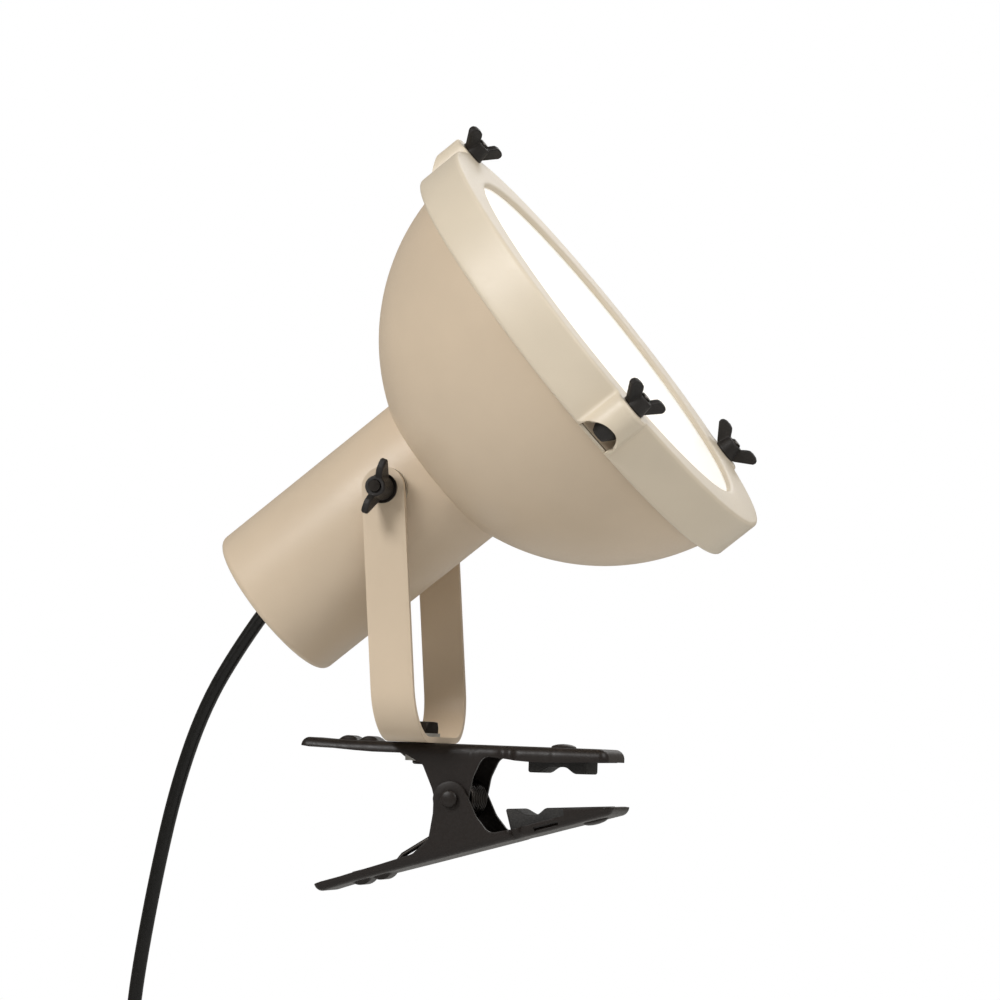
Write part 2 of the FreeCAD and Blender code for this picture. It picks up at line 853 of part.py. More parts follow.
def route(points, limit=None, share=0.45):
    """Straight runs joined by tangent arcs, each as large as this share of its two runs allows. Returns edges
    and radii."""
    edges = []
    radii = []
    here = points[0]
    for before, corner, after in zip(points, points[1:], points[2:]):
        into = (corner - before).normalize()
        out = (after - corner).normalize()
        half = into.getAngle(out) / 2
        room = share * min((corner - before).Length, (after - corner).Length)
        radius = room / math.tan(half)
        if limit:
            radius = min(radius, limit)
        cut_back = radius * math.tan(half)
        start = corner - into * cut_back
        end = corner + out * cut_back
        edges.append(Part.LineSegment(here, start).toShape())
        edges.append(bend(start, into, end))
        radii.append(round(radius, 1))
        here = end
    edges.append(Part.LineSegment(here, points[-1]).toShape())
    return edges, radii


def swept(edges, radius):
    """A round bar along joined edges."""
    wire = Part.Wire(edges)
    first = edges[0]
    start = first.valueAt(first.FirstParameter)
    heading = first.tangentAt(first.FirstParameter)
    shell = Part.BRepOffsetAPI.MakePipeShell(wire)
    shell.add(Part.Wire([Part.Circle(start, heading, radius).toShape()]))
    shell.build()
    shell.makeSolid()
    return shell.shape(), wire


def least_gap(wire, radius):
    """Least gap of a wound bar to itself, on points along its middle."""
    count = int(wire.Length / (radius / 2))
    points = wire.discretize(Number=count)
    step = wire.Length / (count - 1)
    apart = int(radius * 7 / step)
    least = min(
        (points[far] - points[near]).Length
        for near in range(0, count, 2)
        for far in range(near + apart, count, 2)
    )
    return least - 2 * radius


def bar(name, edges, radius, gap=False):
    """A sub-part of round stock along joined edges."""
    shape, wire = swept(edges, radius)
    made = doc.addObject("Part::Feature", name)
    made.Label = name
    made.Shape = shape
    expected = math.pi * radius**2 * wire.Length
    print(name, "length", round(wire.Length, 1), "volume ratio", round(shape.Volume / expected, 4))
    if gap:
        print(name, "least gap to itself", round(least_gap(wire, radius), 2))
    return made


def spring_half(name):
    """Half of the clamp's spring, wound about the pin's axis, with the leg that lifts one jaw's tail."""
    wire = d.spring_wire.value
    mean = (d.pin_radius + d.spring_bore_gap + d.spring_wire / 2).value
    pitch = wire + d.spring_turn_gap.value
    inner = (wire + d.spring_half_gap.value) / 2
    seat = PLATE_UNDER.value - d.spring_seat_gap.value - wire / 2
    touch = d.spring_leg_touch.value
    slope = math.atan2(seat, touch) - math.asin(mean / math.hypot(seat, touch))
    last = math.pi / 2 - slope
    quarters = round(4 * d.spring_turns.value)
    stations = []
    for quarter in range(quarters + 1):
        back = (quarters - quarter) * math.pi / 2
        angle = last - back
        y = inner + pitch * quarter / 4
        rise = 0 if quarter in (0, quarters) else pitch / (2 * math.pi)
        point = Vector(mean * math.cos(angle), y, mean * math.sin(angle))
        heading = Vector(-mean * math.sin(angle), rise, mean * math.cos(angle)).normalize()
        stations.append((point, heading))
    start, first_heading = stations[0]
    end, last_heading = stations[-1]
    corner = Vector(-touch, end.y, seat)
    tip = Vector(-d.spring_leg_reach.value, end.y, seat)
    leg, _ = route([end, corner, tip], d.spring_bend_radius.value)
    lead_in = Part.LineSegment(start - first_heading * wire, start).toShape()
    return bar(name, [lead_in] + wound(stations) + leg, wire / 2, gap=True)


def springs():
    by_hinge(spring_half("spring_upper_half"))
    by_hinge_turned(spring_half("spring_lower_half"))


# The yoke and its bolt


def yoke():
    body = new_body("yoke")
    across = new_sketch(body, "YZ_Plane")
    wide, wall, bend_radius = YOKE_OUTSIDE, d.yoke_wall, d.yoke_bend_radius
    inner = YOKE_INSIDE
    small = bend_radius - wall
    top = d.yoke_height + d.yoke_strap
    corner = wide - bend_radius
    outline(
        across,
        [
            (-wide, top),
            (-wide, bend_radius, -corner, bend_radius, 1),
            (-corner, 0),
            (corner, 0, corner, bend_radius, 1),
            (wide, bend_radius),
            (wide, top),
            (inner, top),
            (inner, bend_radius, inner - small, bend_radius, -1),
            (inner - small, wall),
            (-(inner - small), wall, -(inner - small), bend_radius, -1),
            (-inner, bend_radius),
            (-inner, top),
        ],
    )
    feature(body, "Pad", across, d.yoke_height, symmetric=True)
    half = d.yoke_strap / 2
    lean_x, lean_z = -sine(d.yoke_lean), cosine(d.yoke_lean)
    axis_x = TILT_X - BOLT_X
    axis_z = d.yoke_height
    foot = half / lean_z
    shift = -axis_x * wall / axis_z
    outside = new_sketch(body, "XZ_Plane")
    reach = d.yoke_height
    outline(outside, [(-reach, -reach), (reach, -reach), (reach, top + wall), (-reach, top + wall)])
    outline(
        outside,
        [
            (shift - foot, -wall),
            (shift + foot, -wall),
            (axis_x + half * lean_z, axis_z - half * lean_x, axis_x, axis_z, 1),
            (axis_x + half * lean_x, axis_z + half * lean_z, axis_x, axis_z, 1),
            (axis_x - half * lean_z, axis_z + half * lean_x),
        ],
    )
    feature(body, "Pocket", outside, symmetric=True)
    drill(body, "XZ_Plane", axis_x, axis_z, d.stud_radius + d.thread_gap)
    drill(body, "XY_Plane", 0, 0, d.bolt_radius + d.bolt_running_gap)
    put(body, BOLT_X, 0, PLATE_Z + d.bolt_running_gap)


def washer(name, radius, bore, thickness):
    made = cut(rod(radius, thickness), rod(bore, thickness))
    return named(made, name)


def yoke_bolt():
    seat = d.yoke_wall + d.bolt_running_gap * 2
    under = seat + d.bolt_washer_thickness
    body = new_body("yoke_bolt")
    head = new_sketch(body, "XY_Plane", under)
    hexagon(head, d.hex_across)
    feature(body, "Pad", head, d.bolt_head_height)
    shank = new_sketch(body, "XY_Plane", under)
    ring_outline(shank, 0, 0, d.bolt_radius)
    shank_length = under + d.jaw_wall + d.bolt_nut_height + d.bolt_tail
    feature(body, "Pad", shank, shank_length, reverse=True)
    put(body, BOLT_X, 0, PLATE_Z)
    bore = d.bolt_radius + d.bolt_running_gap
    ring = washer("yoke_washer", d.bolt_washer_radius, bore, d.bolt_washer_thickness)
    put(ring, BOLT_X, 0, PLATE_Z + seat)
    nut = new_body("yoke_nut")
    sides = new_sketch(nut, "XY_Plane")
    hexagon(sides, d.hex_across)
    feature(nut, "Pad", sides, d.bolt_nut_height)
    drill(nut, "XY_Plane", 0, 0, d.bolt_radius + d.thread_gap)
    put(nut, BOLT_X, 0, PLATE_Z - d.jaw_wall - d.bolt_nut_height)


# The lamp head, along its own axis

DOME_HOLE = d.housing_radius + d.weld_gap
HOUSING_FRONT = d.dome_seat + d.housing_lap
DOME_CENTRE = d.dome_seat + side(d.dome_radius, DOME_HOLE)
DOME_RIM = DOME_CENTRE - d.dome_rim_depth
GLASS_RADIUS = d.dome_radius - d.glass_inset
GLASS_BACK = DOME_RIM + d.gasket_back_lip
GLASS_FRONT = GLASS_BACK + d.glass_thickness
GASKET_RADIUS = GLASS_RADIUS + d.gasket_rim
RING_INSIDE = GLASS_FRONT + d.gasket_lip
RING_FRONT = RING_INSIDE + d.ring_wall
RING_BACK = DOME_RIM - d.ring_lap
RING_RADIUS = GASKET_RADIUS + d.gasket_room + d.ring_wall
LUG_CIRCLE = RING_RADIUS + d.lug_out
LUG_BACK = RING_BACK + d.lug_start
BOSS_BACK = RING_BACK + d.boss_start
BULB_TOP = GLASS_BACK - d.bulb_room
CAP_TOP = BULB_TOP - d.bulb_length
CONTACT_TOP = CAP_TOP - d.cap_length
HOLDER_FLOOR = CONTACT_TOP - d.contact_height
HOLDER_BACK = HOLDER_FLOOR - d.holder_floor
HOUSING_BACK = HOLDER_BACK - d.holder_stand_off
BACK_INSIDE = HOUSING_BACK + d.housing_wall
BRACKET_BACK = HOLDER_BACK - d.bracket_wall
BRACKET_SIDE = d.housing_radius - d.housing_wall - d.bracket_room
BRACKET_SCREW_X = BRACKET_SIDE - (d.bracket_foot + d.bracket_wall) / 2
LUG_TURNS = {"top": 179, "near": -60.5, "far": 58.5}
SIDES = {"near": 1, "far": -1}


def neck_housing():
    outer = d.housing_radius
    inner = outer - d.housing_wall
    corner = d.housing_round
    back = HOUSING_BACK
    hole = d.gland_radius + d.screw_gap
    middle = (outer - corner, back + corner)
    body = turned(
        "neck_housing",
        [
            (hole, back),
            (outer - corner, back, *middle, 1),
            (outer, back + corner),
            (outer, HOUSING_FRONT),
            (inner, HOUSING_FRONT),
            (inner, back + corner, *middle, -1),
            (outer - corner, BACK_INSIDE),
            (hole, BACK_INSIDE),
        ],
    )
    drill(body, "XZ_Plane", 0, 0, d.stud_radius + d.screw_gap)
    for x in (-BRACKET_SCREW_X, BRACKET_SCREW_X):
        feet = new_sketch(body, "XY_Plane", back - d.housing_wall)
        ring_outline(feet, x, 0, d.small_screw_radius + d.screw_gap)
        feature(body, "Pocket", feet, d.bracket_wall + d.housing_wall * 2, reverse=True)
    on_head(body)


def dome_shell():
    centre = DOME_CENTRE
    outer = d.dome_radius
    inner = outer - d.dome_wall
    depth = d.dome_rim_depth
    body = turned(
        "dome_shell",
        [
            (DOME_HOLE, centre - side(outer, DOME_HOLE), 0, centre, 1),
            (side(outer, depth), DOME_RIM),
            (side(inner, depth), DOME_RIM, 0, centre, -1),
            (DOME_HOLE, centre - side(inner, DOME_HOLE)),
        ],
    )
    on_head(body)


def front_ring():
    outer = RING_RADIUS
    wall = d.ring_wall
    lip = d.dome_radius + d.ring_seam_gap
    window = GLASS_RADIUS - d.ring_cover
    front = RING_FRONT
    back = RING_BACK
    edge = d.ring_round
    body = turned(
        "front_ring",
        [
            (lip, back),
            (outer, back),
            (outer, front - edge, outer - edge, front - edge, 1),
            (outer - edge, front),
            (window, front),
            (window, RING_INSIDE),
            (outer - wall, RING_INSIDE),
            (outer - wall, back + wall),
            (lip, back + wall),
        ],
    )
    lugs = new_sketch(body, "XY_Plane", LUG_BACK)
    for turn in LUG_TURNS.values():
        ring_outline(lugs, *lug_place(turn), d.lug_radius)
    feature(body, "Pad", lugs, front - LUG_BACK)
    reach = LUG_CIRCLE + d.lug_radius
    for turn in LUG_TURNS.values():
        slant = new_sketch(body, "XZ_Plane", 0, turn)
        outline(
            slant,
            [
                (reach - d.lug_taper, LUG_BACK),
                (reach - d.lug_taper, LUG_BACK - wall),
                (reach + wall, LUG_BACK - wall),
                (reach + wall, LUG_BACK + d.lug_taper + wall),
            ],
        )
        feature(body, "Pocket", slant, d.lug_radius * 2 + wall, symmetric=True)
    hollows = new_sketch(body, "XY_Plane", back - wall)
    for turn in LUG_TURNS.values():
        ring_outline(hollows, *lug_place(turn), d.lug_radius - wall)
    feature(body, "Pocket", hollows, RING_INSIDE - back + wall, reverse=True)
    inside = new_sketch(body, "XY_Plane", back + wall)
    ring_outline(inside, 0, 0, outer - wall)
    feature(body, "Pocket", inside, RING_INSIDE - back - wall, reverse=True)
    holes = new_sketch(body, "XY_Plane", RING_INSIDE - wall)
    for turn in LUG_TURNS.values():
        ring_outline(holes, *lug_place(turn), d.stud_radius + d.stud_hole_gap)
    feature(body, "Pocket", holes, RING_FRONT - RING_INSIDE + wall * 2, reverse=True)
    on_head(body)


def lug_place(turn):
    """Where a lug, its stud and its nut are, seen along the lamp's axis."""
    return LUG_CIRCLE * cosine(turn), LUG_CIRCLE * sine(turn)


def diffuser():
    glass = rod(GLASS_RADIUS, d.glass_thickness)
    on_head(named(glass, "diffuser_glass"), 0, 0, GLASS_BACK)
    seat = GLASS_RADIUS + d.weld_gap
    inner = GLASS_RADIUS - d.gasket_grip
    gasket = turned(
        "glass_gasket",
        [
            (inner, DOME_RIM),
            (GASKET_RADIUS, DOME_RIM),
            (GASKET_RADIUS, RING_INSIDE),
            (inner, RING_INSIDE),
            (inner, GLASS_FRONT),
            (seat, GLASS_FRONT),
            (seat, GLASS_BACK),
            (inner, GLASS_BACK),
        ],
    )
    on_head(gasket)


def stud_brackets():
    brackets = []
    for turn in LUG_TURNS.values():
        boss = rod(d.boss_radius, d.boss_length, LUG_CIRCLE, 0, BOSS_BACK)
        middle = LUG_CIRCLE - d.boss_lap / 2
        web = block(d.boss_lap, d.boss_web, d.boss_length, middle, 0, BOSS_BACK)
        ball = doc.addObject("Part::Sphere", "ball")
        ball.setExpression("Radius", words(d.dome_radius + d.weld_gap))
        put(ball, 0, 0, DOME_CENTRE)
        bore = rod(
            d.stud_radius + d.thread_gap, d.boss_length, LUG_CIRCLE, 0, BOSS_BACK
        )
        bracket = cut(cut(joined(boss, web), ball), bore)
        brackets.append(put(bracket, turn=turn))
    on_head(group("stud_brackets", brackets))


def ring_studs():
    start = BOSS_BACK
    length = RING_FRONT + d.ring_stud_free - start
    studs = [rod(d.stud_radius, length, *lug_place(turn), start) for turn in LUG_TURNS.values()]
    on_head(group("ring_studs", studs))


def wing_nut(name, reach, height, hub_height, turn):
    """A cast wing nut that stands on its seat, with its two wings turned from x."""
    body = new_body(name)
    hub = new_sketch(body, "XZ_Plane")
    outline(
        hub,
        [
            (0, 0),
            (d.wing_seat_radius, 0),
            (d.wing_hub_radius, hub_height),
            (0, hub_height),
        ],
    )
    made = body.newObject("PartDesign::Revolution", f"{name}_hub")
    made.Profile = hub
    made.ReferenceAxis = (hub, ["V_Axis"])
    made.Angle = 360
    wings = new_sketch(body, "XZ_Plane", 0, turn)
    root_x = d.wing_hub_radius - d.wing_root_depth
    corner, neck = d.wing_corner_height, d.wing_neck_reach
    across, up = reach - neck, height - corner
    chord = root(across * across + up * up)
    radius = (chord * chord / 4 + d.wing_crown * d.wing_crown) / (d.wing_crown * 2)
    inset = (radius - d.wing_crown) / chord
    x = (reach + neck) / 2 - up * inset
    z = (corner + height) / 2 - across * inset
    for way in (1, -1):
        outline(
            wings,
            [
                (root_x * way, d.wing_foot),
                (d.wing_hub_radius * way, d.wing_foot),
                (reach * way, corner, x * way, z, way),
                (neck * way, height),
                (root_x * way, hub_height - d.wing_root_drop),
            ],
        )
    feature(body, "Pad", wings, d.wing_thickness, symmetric=True)
    drill(body, "XY_Plane", 0, 0, d.stud_radius + d.thread_gap)
    return body


def ring_wing_nuts():
    turns = {"top": d.wing_turn_top, "near": d.wing_turn_near, "far": d.wing_turn_far}
    for place, turn in LUG_TURNS.items():
        name = f"ring_wing_nut_{place}"
        nut = wing_nut(name, d.wing_reach, d.wing_height, d.wing_hub_height, turns[place])
        on_head(nut, *lug_place(turn), RING_FRONT + d.seat_gap)


# The tilt pivots, one on each side


def on_pivot(piece, way, y):
    """Place a piece that stands on its own z, outwards along the tilt axis, from y on."""
    return put(piece, TILT_X, y * -way, TILT_Z, (1, 0, 0), 90 * way)


def pivots():
    inside = d.housing_radius - d.housing_wall
    head = d.pivot_stud_head_radius
    head_top = side(inside, head) - d.weld_gap
    washer_in = YOKE_INSIDE - d.pivot_side_gap - d.friction_washer
    washer_out = YOKE_OUTSIDE + d.pivot_side_gap
    seat = washer_out + d.pivot_washer_thickness
    bore = d.stud_radius + d.thread_gap
    studs, spacers, frictions, washers = [], [], [], []
    for side_name, way in SIDES.items():
        start = head_top - d.pivot_stud_head
        shank = on_pivot(rod(d.stud_radius, seat + d.pivot_stud_free - start), way, start)
        disc = on_pivot(rod(head, d.pivot_stud_head), way, start)
        studs.append(joined(shank, disc))
        root_y = inside
        saddle = on_pivot(rod(d.spacer_radius, washer_in - root_y), way, root_y)
        hole = on_pivot(rod(bore, washer_in - root_y), way, root_y)
        barrel = rod(d.housing_radius + d.weld_gap, d.spacer_radius * 4)
        on_head(barrel, 0, 0, -d.spacer_radius * 2)
        spacers.append(cut(cut(saddle, barrel), hole))
        disc = washer(f"friction_{side_name}", d.spacer_radius, bore, d.friction_washer)
        frictions.append(on_pivot(disc, way, washer_in))
        disc = washer(f"outer_{side_name}", d.pivot_washer_radius, bore, d.pivot_washer_thickness)
        washers.append(on_pivot(disc, way, washer_out))
        nut = wing_nut(
            f"pivot_wing_nut_{side_name}",
            d.pivot_wing_reach,
            d.pivot_wing_height,
            d.pivot_hub_height,
            d.pivot_wing_turn * way,
        )
        on_pivot(nut, way, seat + d.seat_gap)
    group("pivot_studs", studs)
    group("pivot_spacers", spacers)
    group("friction_washers", frictions)
    group("pivot_washers", washers)


# Lampholder, bulb and cord entry inside the neck

SLEEVE_OUTSIDE = d.cap_radius + d.screw_gap + d.sleeve_wall
GLAND_FRONT = BACK_INSIDE + d.gland_thread_length + d.gland_taper_length
GLAND_BACK = HOUSING_BACK - d.gland_collar


def lampholder():
    bore = SLEEVE_OUTSIDE + d.weld_gap
    step = HOLDER_BACK + d.holder_base_length
    front = HOLDER_BACK + d.holder_length
    body = turned(
        "lampholder_body",
        [
            (0, HOLDER_BACK),
            (d.holder_base_radius, HOLDER_BACK),
            (d.holder_base_radius, step),
            (d.holder_skirt_radius, step),
            (d.holder_skirt_radius, front),
            (bore, front),
            (bore, HOLDER_FLOOR),
            (0, HOLDER_FLOOR),
        ],
    )
    screws = new_sketch(body, "XY_Plane", HOLDER_BACK)
    for x in (-d.holder_screw_offset, d.holder_screw_offset):
        ring_outline(screws, x, 0, d.small_screw_radius + d.thread_gap)
    feature(body, "Pocket", screws, d.small_screw_grip + d.screw_gap, reverse=True)
    cores = new_sketch(body, "XY_Plane", HOLDER_BACK)
    for y in (-d.core_spread, d.core_spread):
        ring_outline(cores, 0, y, d.core_radius + d.weld_gap)
    feature(body, "Pocket", cores, d.core_depth + d.screw_gap, reverse=True)
    on_head(body)
    sleeve = washer(
        "lampholder_sleeve", SLEEVE_OUTSIDE, SLEEVE_OUTSIDE - d.sleeve_wall, d.sleeve_length
    )
    on_head(sleeve, 0, 0, HOLDER_FLOOR + d.contact_height)
    contact = rod(d.contact_radius, d.contact_height)
    on_head(named(contact, "lampholder_contact"), 0, 0, HOLDER_FLOOR)


def lampholder_bracket():
    body = new_body("lampholder_bracket")
    half, wall = BRACKET_SIDE, d.bracket_wall
    toe = half - d.bracket_foot
    profile = new_sketch(body, "XZ_Plane")
    near = [
        (toe, BACK_INSIDE + wall),
        (toe, BACK_INSIDE),
        (half, BACK_INSIDE),
        (half, HOLDER_BACK),
    ]
    under = [(half - wall, BRACKET_BACK), (half - wall, BACK_INSIDE + wall)]
    mirrored = [(-x, z) for x, z in reversed(near)]
    mirrored_under = [(-x, z) for x, z in reversed(under)]
    outline(profile, near + mirrored + mirrored_under + under)
    feature(body, "Pad", profile, d.bracket_width, symmetric=True)
    drill(body, "XY_Plane", 0, 0, d.bracket_hole_radius)
    radius = d.small_screw_radius + d.screw_gap
    for x in (-d.holder_screw_offset, d.holder_screw_offset, -BRACKET_SCREW_X, BRACKET_SCREW_X):
        drill(body, "XY_Plane", x, 0, radius)
    on_head(body)


def small_screw(length, x, y, z, about=(0, 0, 1), turn=0.0):
    """A pan-head screw: its shank goes up from z, its head lies below."""
    shank = rod(d.small_screw_radius, length)
    head = rod(d.small_screw_head_radius, d.small_screw_head, 0, 0, -d.small_screw_head)
    return put(joined(shank, head), x, y, z, about, turn)


def lampholder_screws():
    grip = d.bracket_wall + d.small_screw_grip
    offset = d.holder_screw_offset
    pair = [small_screw(grip, x, 0, BRACKET_BACK) for x in (-offset, offset)]
    on_head(group("holder_screws", pair))
    seat = BACK_INSIDE + d.bracket_wall
    length = d.bracket_wall + d.housing_wall
    turned_over = ((1, 0, 0), 180)
    offset = BRACKET_SCREW_X
    pair = [small_screw(length, x, 0, seat, *turned_over) for x in (-offset, offset)]
    on_head(group("bracket_screws", pair))


def bulb():
    shoulder = CONTACT_TOP + d.cap_tip
    cap = turned(
        "bulb_cap",
        [
            (0, CONTACT_TOP),
            (d.cap_tip_radius, CONTACT_TOP),
            (d.cap_tip_radius, shoulder),
            (d.cap_radius, shoulder + d.cap_tip),
            (d.cap_radius, CAP_TOP),
            (0, CAP_TOP),
        ],
    )
    on_head(cap)
    outer = d.bulb_radius
    inner = outer - d.bulb_wall
    middle = BULB_TOP - outer
    low = d.bulb_shoulder
    glass = turned(
        "bulb_glass",
        [
            (d.cap_radius - d.bulb_wall, CAP_TOP),
            (d.cap_radius, CAP_TOP),
            (outer * cosine(low), middle - outer * sine(low), 0, middle, 1),
            (0, middle + outer),
            (0, middle + inner, 0, middle, -1),
            (inner * cosine(low), middle - inner * sine(low)),
        ],
    )
    on_head(glass)


def cord_entry():
    bore = CORD_RADIUS + d.screw_gap
    thread_end = BACK_INSIDE + d.gland_thread_length
    gland = turned(
        "cord_gland",
        [
            (bore, GLAND_BACK),
            (d.gland_radius, GLAND_BACK),
            (d.gland_collar_radius, GLAND_BACK + d.gland_collar / 2),
            (d.gland_collar_radius, HOUSING_BACK),
            (d.gland_radius, HOUSING_BACK),
            (d.gland_radius, thread_end),
            (d.gland_tip_radius, GLAND_FRONT),
            (bore, GLAND_FRONT),
        ],
    )
    on_head(gland)
    nut = new_body("gland_nut")
    sides = new_sketch(nut, "XY_Plane")
    hexagon(sides, d.gland_nut_across)
    feature(nut, "Pad", sides, d.gland_nut_height)
    drill(nut, "XY_Plane", 0, 0, d.gland_radius + d.thread_gap)
    on_head(nut, 0, 0, BACK_INSIDE)
    cord = rod(CORD_RADIUS, GLAND_FRONT - GLAND_BACK)
    on_head(named(cord, "inner_cord"), 0, 0, GLAND_BACK)
    length = HOLDER_BACK + d.core_depth - GLAND_FRONT
    cores = [rod(d.core_radius, length, 0, y, GLAND_FRONT) for y in (-d.core_spread, d.core_spread)]
    on_head(group("supply_wires", cores))


# The hanging cord, its switch, its coil and its plug

EXIT_BACK = d.cord_joint_gap + CORD_RADIUS - GLAND_BACK
EXIT_X = TILT_X - EXIT_BACK * cosine(d.aim_angle)
EXIT_Z = TILT_Z - EXIT_BACK * sine(d.aim_angle)
DROP_X = EXIT_X - CORD_ROUTE[-1][0]
SWITCH_TOP = EXIT_Z - CORD_ROUTE[-1][1]
SWITCH_MIDDLE = SWITCH_TOP - d.switch_length / 2
COIL_MIDDLE = SWITCH_TOP - d.switch_length - d.coil_lead_in
TURNS_A_LAYER = d.coil_turns / d.coil_layers
COIL_OUTSIDE = d.coil_radius + d.coil_pitch * TURNS_A_LAYER / 2
COIL_X = DROP_X + COIL_OUTSIDE
TAIL_Y = d.coil_pitch * (d.coil_layers - 1)
PLUG_TOP = COIL_MIDDLE - d.tail_drop


def lead():
    exit_point = Vector(EXIT_X.value, 0, EXIT_Z.value)
    points = [exit_point + Vector(-back, 0, -down) for back, down in [(0, 0)] + CORD_ROUTE]
    edges, radii = route(points)
    print("lead bend radii", radii)
    made = bar("lead", edges, CORD_RADIUS.value)
    ball = Part.makeSphere(CORD_RADIUS.value, exit_point)
    made.Shape = made.Shape.fuse(ball)


def straight_lead(name, y, high, low):
    top = Vector(DROP_X.value, y, high.value)
    bottom = Vector(DROP_X.value, y, low.value)
    bar(name, [Part.LineSegment(top, bottom).toShape()], CORD_RADIUS.value)


# The cord crosses over to the next layer in this share of a turn, half of it before the last layer ends
CROSSING_TURNS = 0.5
HALF = 0.5


def coil_station(turn):
    """Point and heading on the coil after so many turns, from its left and down."""
    pitch = d.coil_pitch.value
    layer = TURNS_A_LAYER.value
    passed = turn % (2 * layer)
    inward = passed if passed <= layer else 2 * layer - passed
    drift = 0 if turn % layer == 0 else pitch if passed > layer else -pitch
    radius = COIL_OUTSIDE.value - pitch * inward
    y = climb = 0
    for reversal in range(1, round(d.coil_layers.value)):
        share = min(max((turn - reversal * layer) / CROSSING_TURNS + HALF, 0), 1)
        y += pitch * share * share * (3 - 2 * share)
        climb += pitch * 6 / CROSSING_TURNS * share * (1 - share)
    angle = math.pi + 2 * math.pi * turn
    around = 2 * math.pi * radius
    point = Vector(radius * math.cos(angle), y, radius * math.sin(angle))
    heading = Vector(
        drift * math.cos(angle) - around * math.sin(angle),
        climb,
        drift * math.sin(angle) + around * math.cos(angle),
    )
    return point + Vector(COIL_X.value, 0, COIL_MIDDLE.value), heading.normalize()


def lead_coil():
    diameter = d.cord_diameter.value
    quarters = round(4 * d.coil_turns.value)
    stations = [coil_station(quarter / 4) for quarter in range(quarters + 1)]
    start, last = stations[0][0], stations[-1][0]
    down = Vector(0, 0, -diameter)
    lead_in = Part.LineSegment(start - down, start).toShape()
    lead_out = Part.LineSegment(last, last + down).toShape()
    bar("lead_coil", [lead_in] + wound(stations) + [lead_out], CORD_RADIUS.value, gap=True)


def coil_tie():
    room = d.cord_diameter + d.tie_slack * 2
    across = d.coil_pitch * (TURNS_A_LAYER - HALF) + room
    deep = TAIL_Y + room
    wall = d.tie_wall * 2
    low = COIL_MIDDLE + d.coil_radius
    outer = block(d.tie_width, deep + wall, across + wall)
    put(outer, COIL_X - d.tie_width / 2, (TAIL_Y - deep - wall) / 2, low - (across + wall) / 2)
    inner = block(d.tie_width, deep, across)
    put(inner, COIL_X - d.tie_width / 2, (TAIL_Y - deep) / 2, low - across / 2)
    named(cut(outer, inner), "coil_tie")


def rounded_box(sketch, width, height, radius):
    """A rectangle about the sketch's origin with round corners."""
    x, y = width / 2, height / 2
    a, b = x - radius, y - radius
    outline(
        sketch,
        [
            (x, -b),
            (x, b, a, b, 1),
            (a, y),
            (-a, y, -a, b, 1),
            (-x, b),
            (-x, -b, -a, -b, 1),
            (-a, -y),
            (a, -y, a, -b, 1),
        ],
    )


def switch_half(name, front):
    """Half of the switch's case: the cover in front, towards -y, or the base behind."""
    body = new_body(name)
    case = new_sketch(body, "XZ_Plane")
    rounded_box(case, d.switch_width, d.switch_length, d.switch_round)
    feature(body, "Pad", case, d.switch_depth / 2, reverse=not front)
    hollow = new_sketch(body, "XZ_Plane")
    inset = d.switch_wall * 2
    rounded_box(
        hollow, d.switch_width - inset, d.switch_length - inset, d.switch_round - d.switch_wall
    )
    feature(body, "Pocket", hollow, d.switch_depth / 2 - d.switch_wall, reverse=front)
    places = (-d.switch_screw_spread / 2, d.switch_screw_spread / 2)
    if front:
        posts = new_sketch(body, "XZ_Plane")
        for z in places:
            ring_outline(posts, 0, z, d.switch_post_radius)
        feature(body, "Pad", posts, d.switch_depth / 2 - d.switch_wall / 2)
        window = new_sketch(body, "XZ_Plane")
        half_x = d.rocker_width / 2 + d.rocker_gap
        half_z = d.rocker_length / 2 + d.rocker_gap
        outline(window, [(-half_x, -half_z), (half_x, -half_z), (half_x, half_z), (-half_x, half_z)])
        feature(body, "Pocket", window, symmetric=True)
    holes = new_sketch(body, "XZ_Plane")
    gap = d.thread_gap if front else d.screw_gap
    for z in places:
        ring_outline(holes, 0, z, d.small_screw_radius + gap)
    depth = d.small_screw_grip if front else d.switch_depth / 2
    feature(body, "Pocket", holes, depth, reverse=front)
    return put(body, DROP_X, 0, SWITCH_MIDDLE)


def switch():
    switch_half("switch_cover", True)
    switch_half("switch_base", False)
    length = d.switch_depth / 2 + d.small_screw_grip - d.screw_gap
    screws = [
        small_screw(length, 0, d.switch_depth / 2, z, (1, 0, 0), 90)
        for z in (-d.switch_screw_spread / 2, d.switch_screw_spread / 2)
    ]
    put(group("switch_screws", screws), DROP_X, 0, SWITCH_MIDDLE)
    body = new_body("switch_rocker")
    profile = new_sketch(body, "YZ_Plane")
    radius = d.rocker_length / 2
    end, foot = d.rocker_end_height, d.rocker_foot
    outline(
        profile,
        [
            (-end, side(radius, end)),
            (-d.rocker_dip_height, 0),
            (-end, -side(radius, end), 0, 0, 1),
            (foot, -side(radius, foot)),
            (foot, side(radius, foot), 0, 0, 1),
        ],
    )
    feature(body, "Pad", profile, d.rocker_width, symmetric=True)
    pivot_y = d.rocker_pivot_depth - d.switch_depth / 2
    put(body, DROP_X, pivot_y, SWITCH_MIDDLE, (1, 0, 0), -d.rocker_throw / 2)


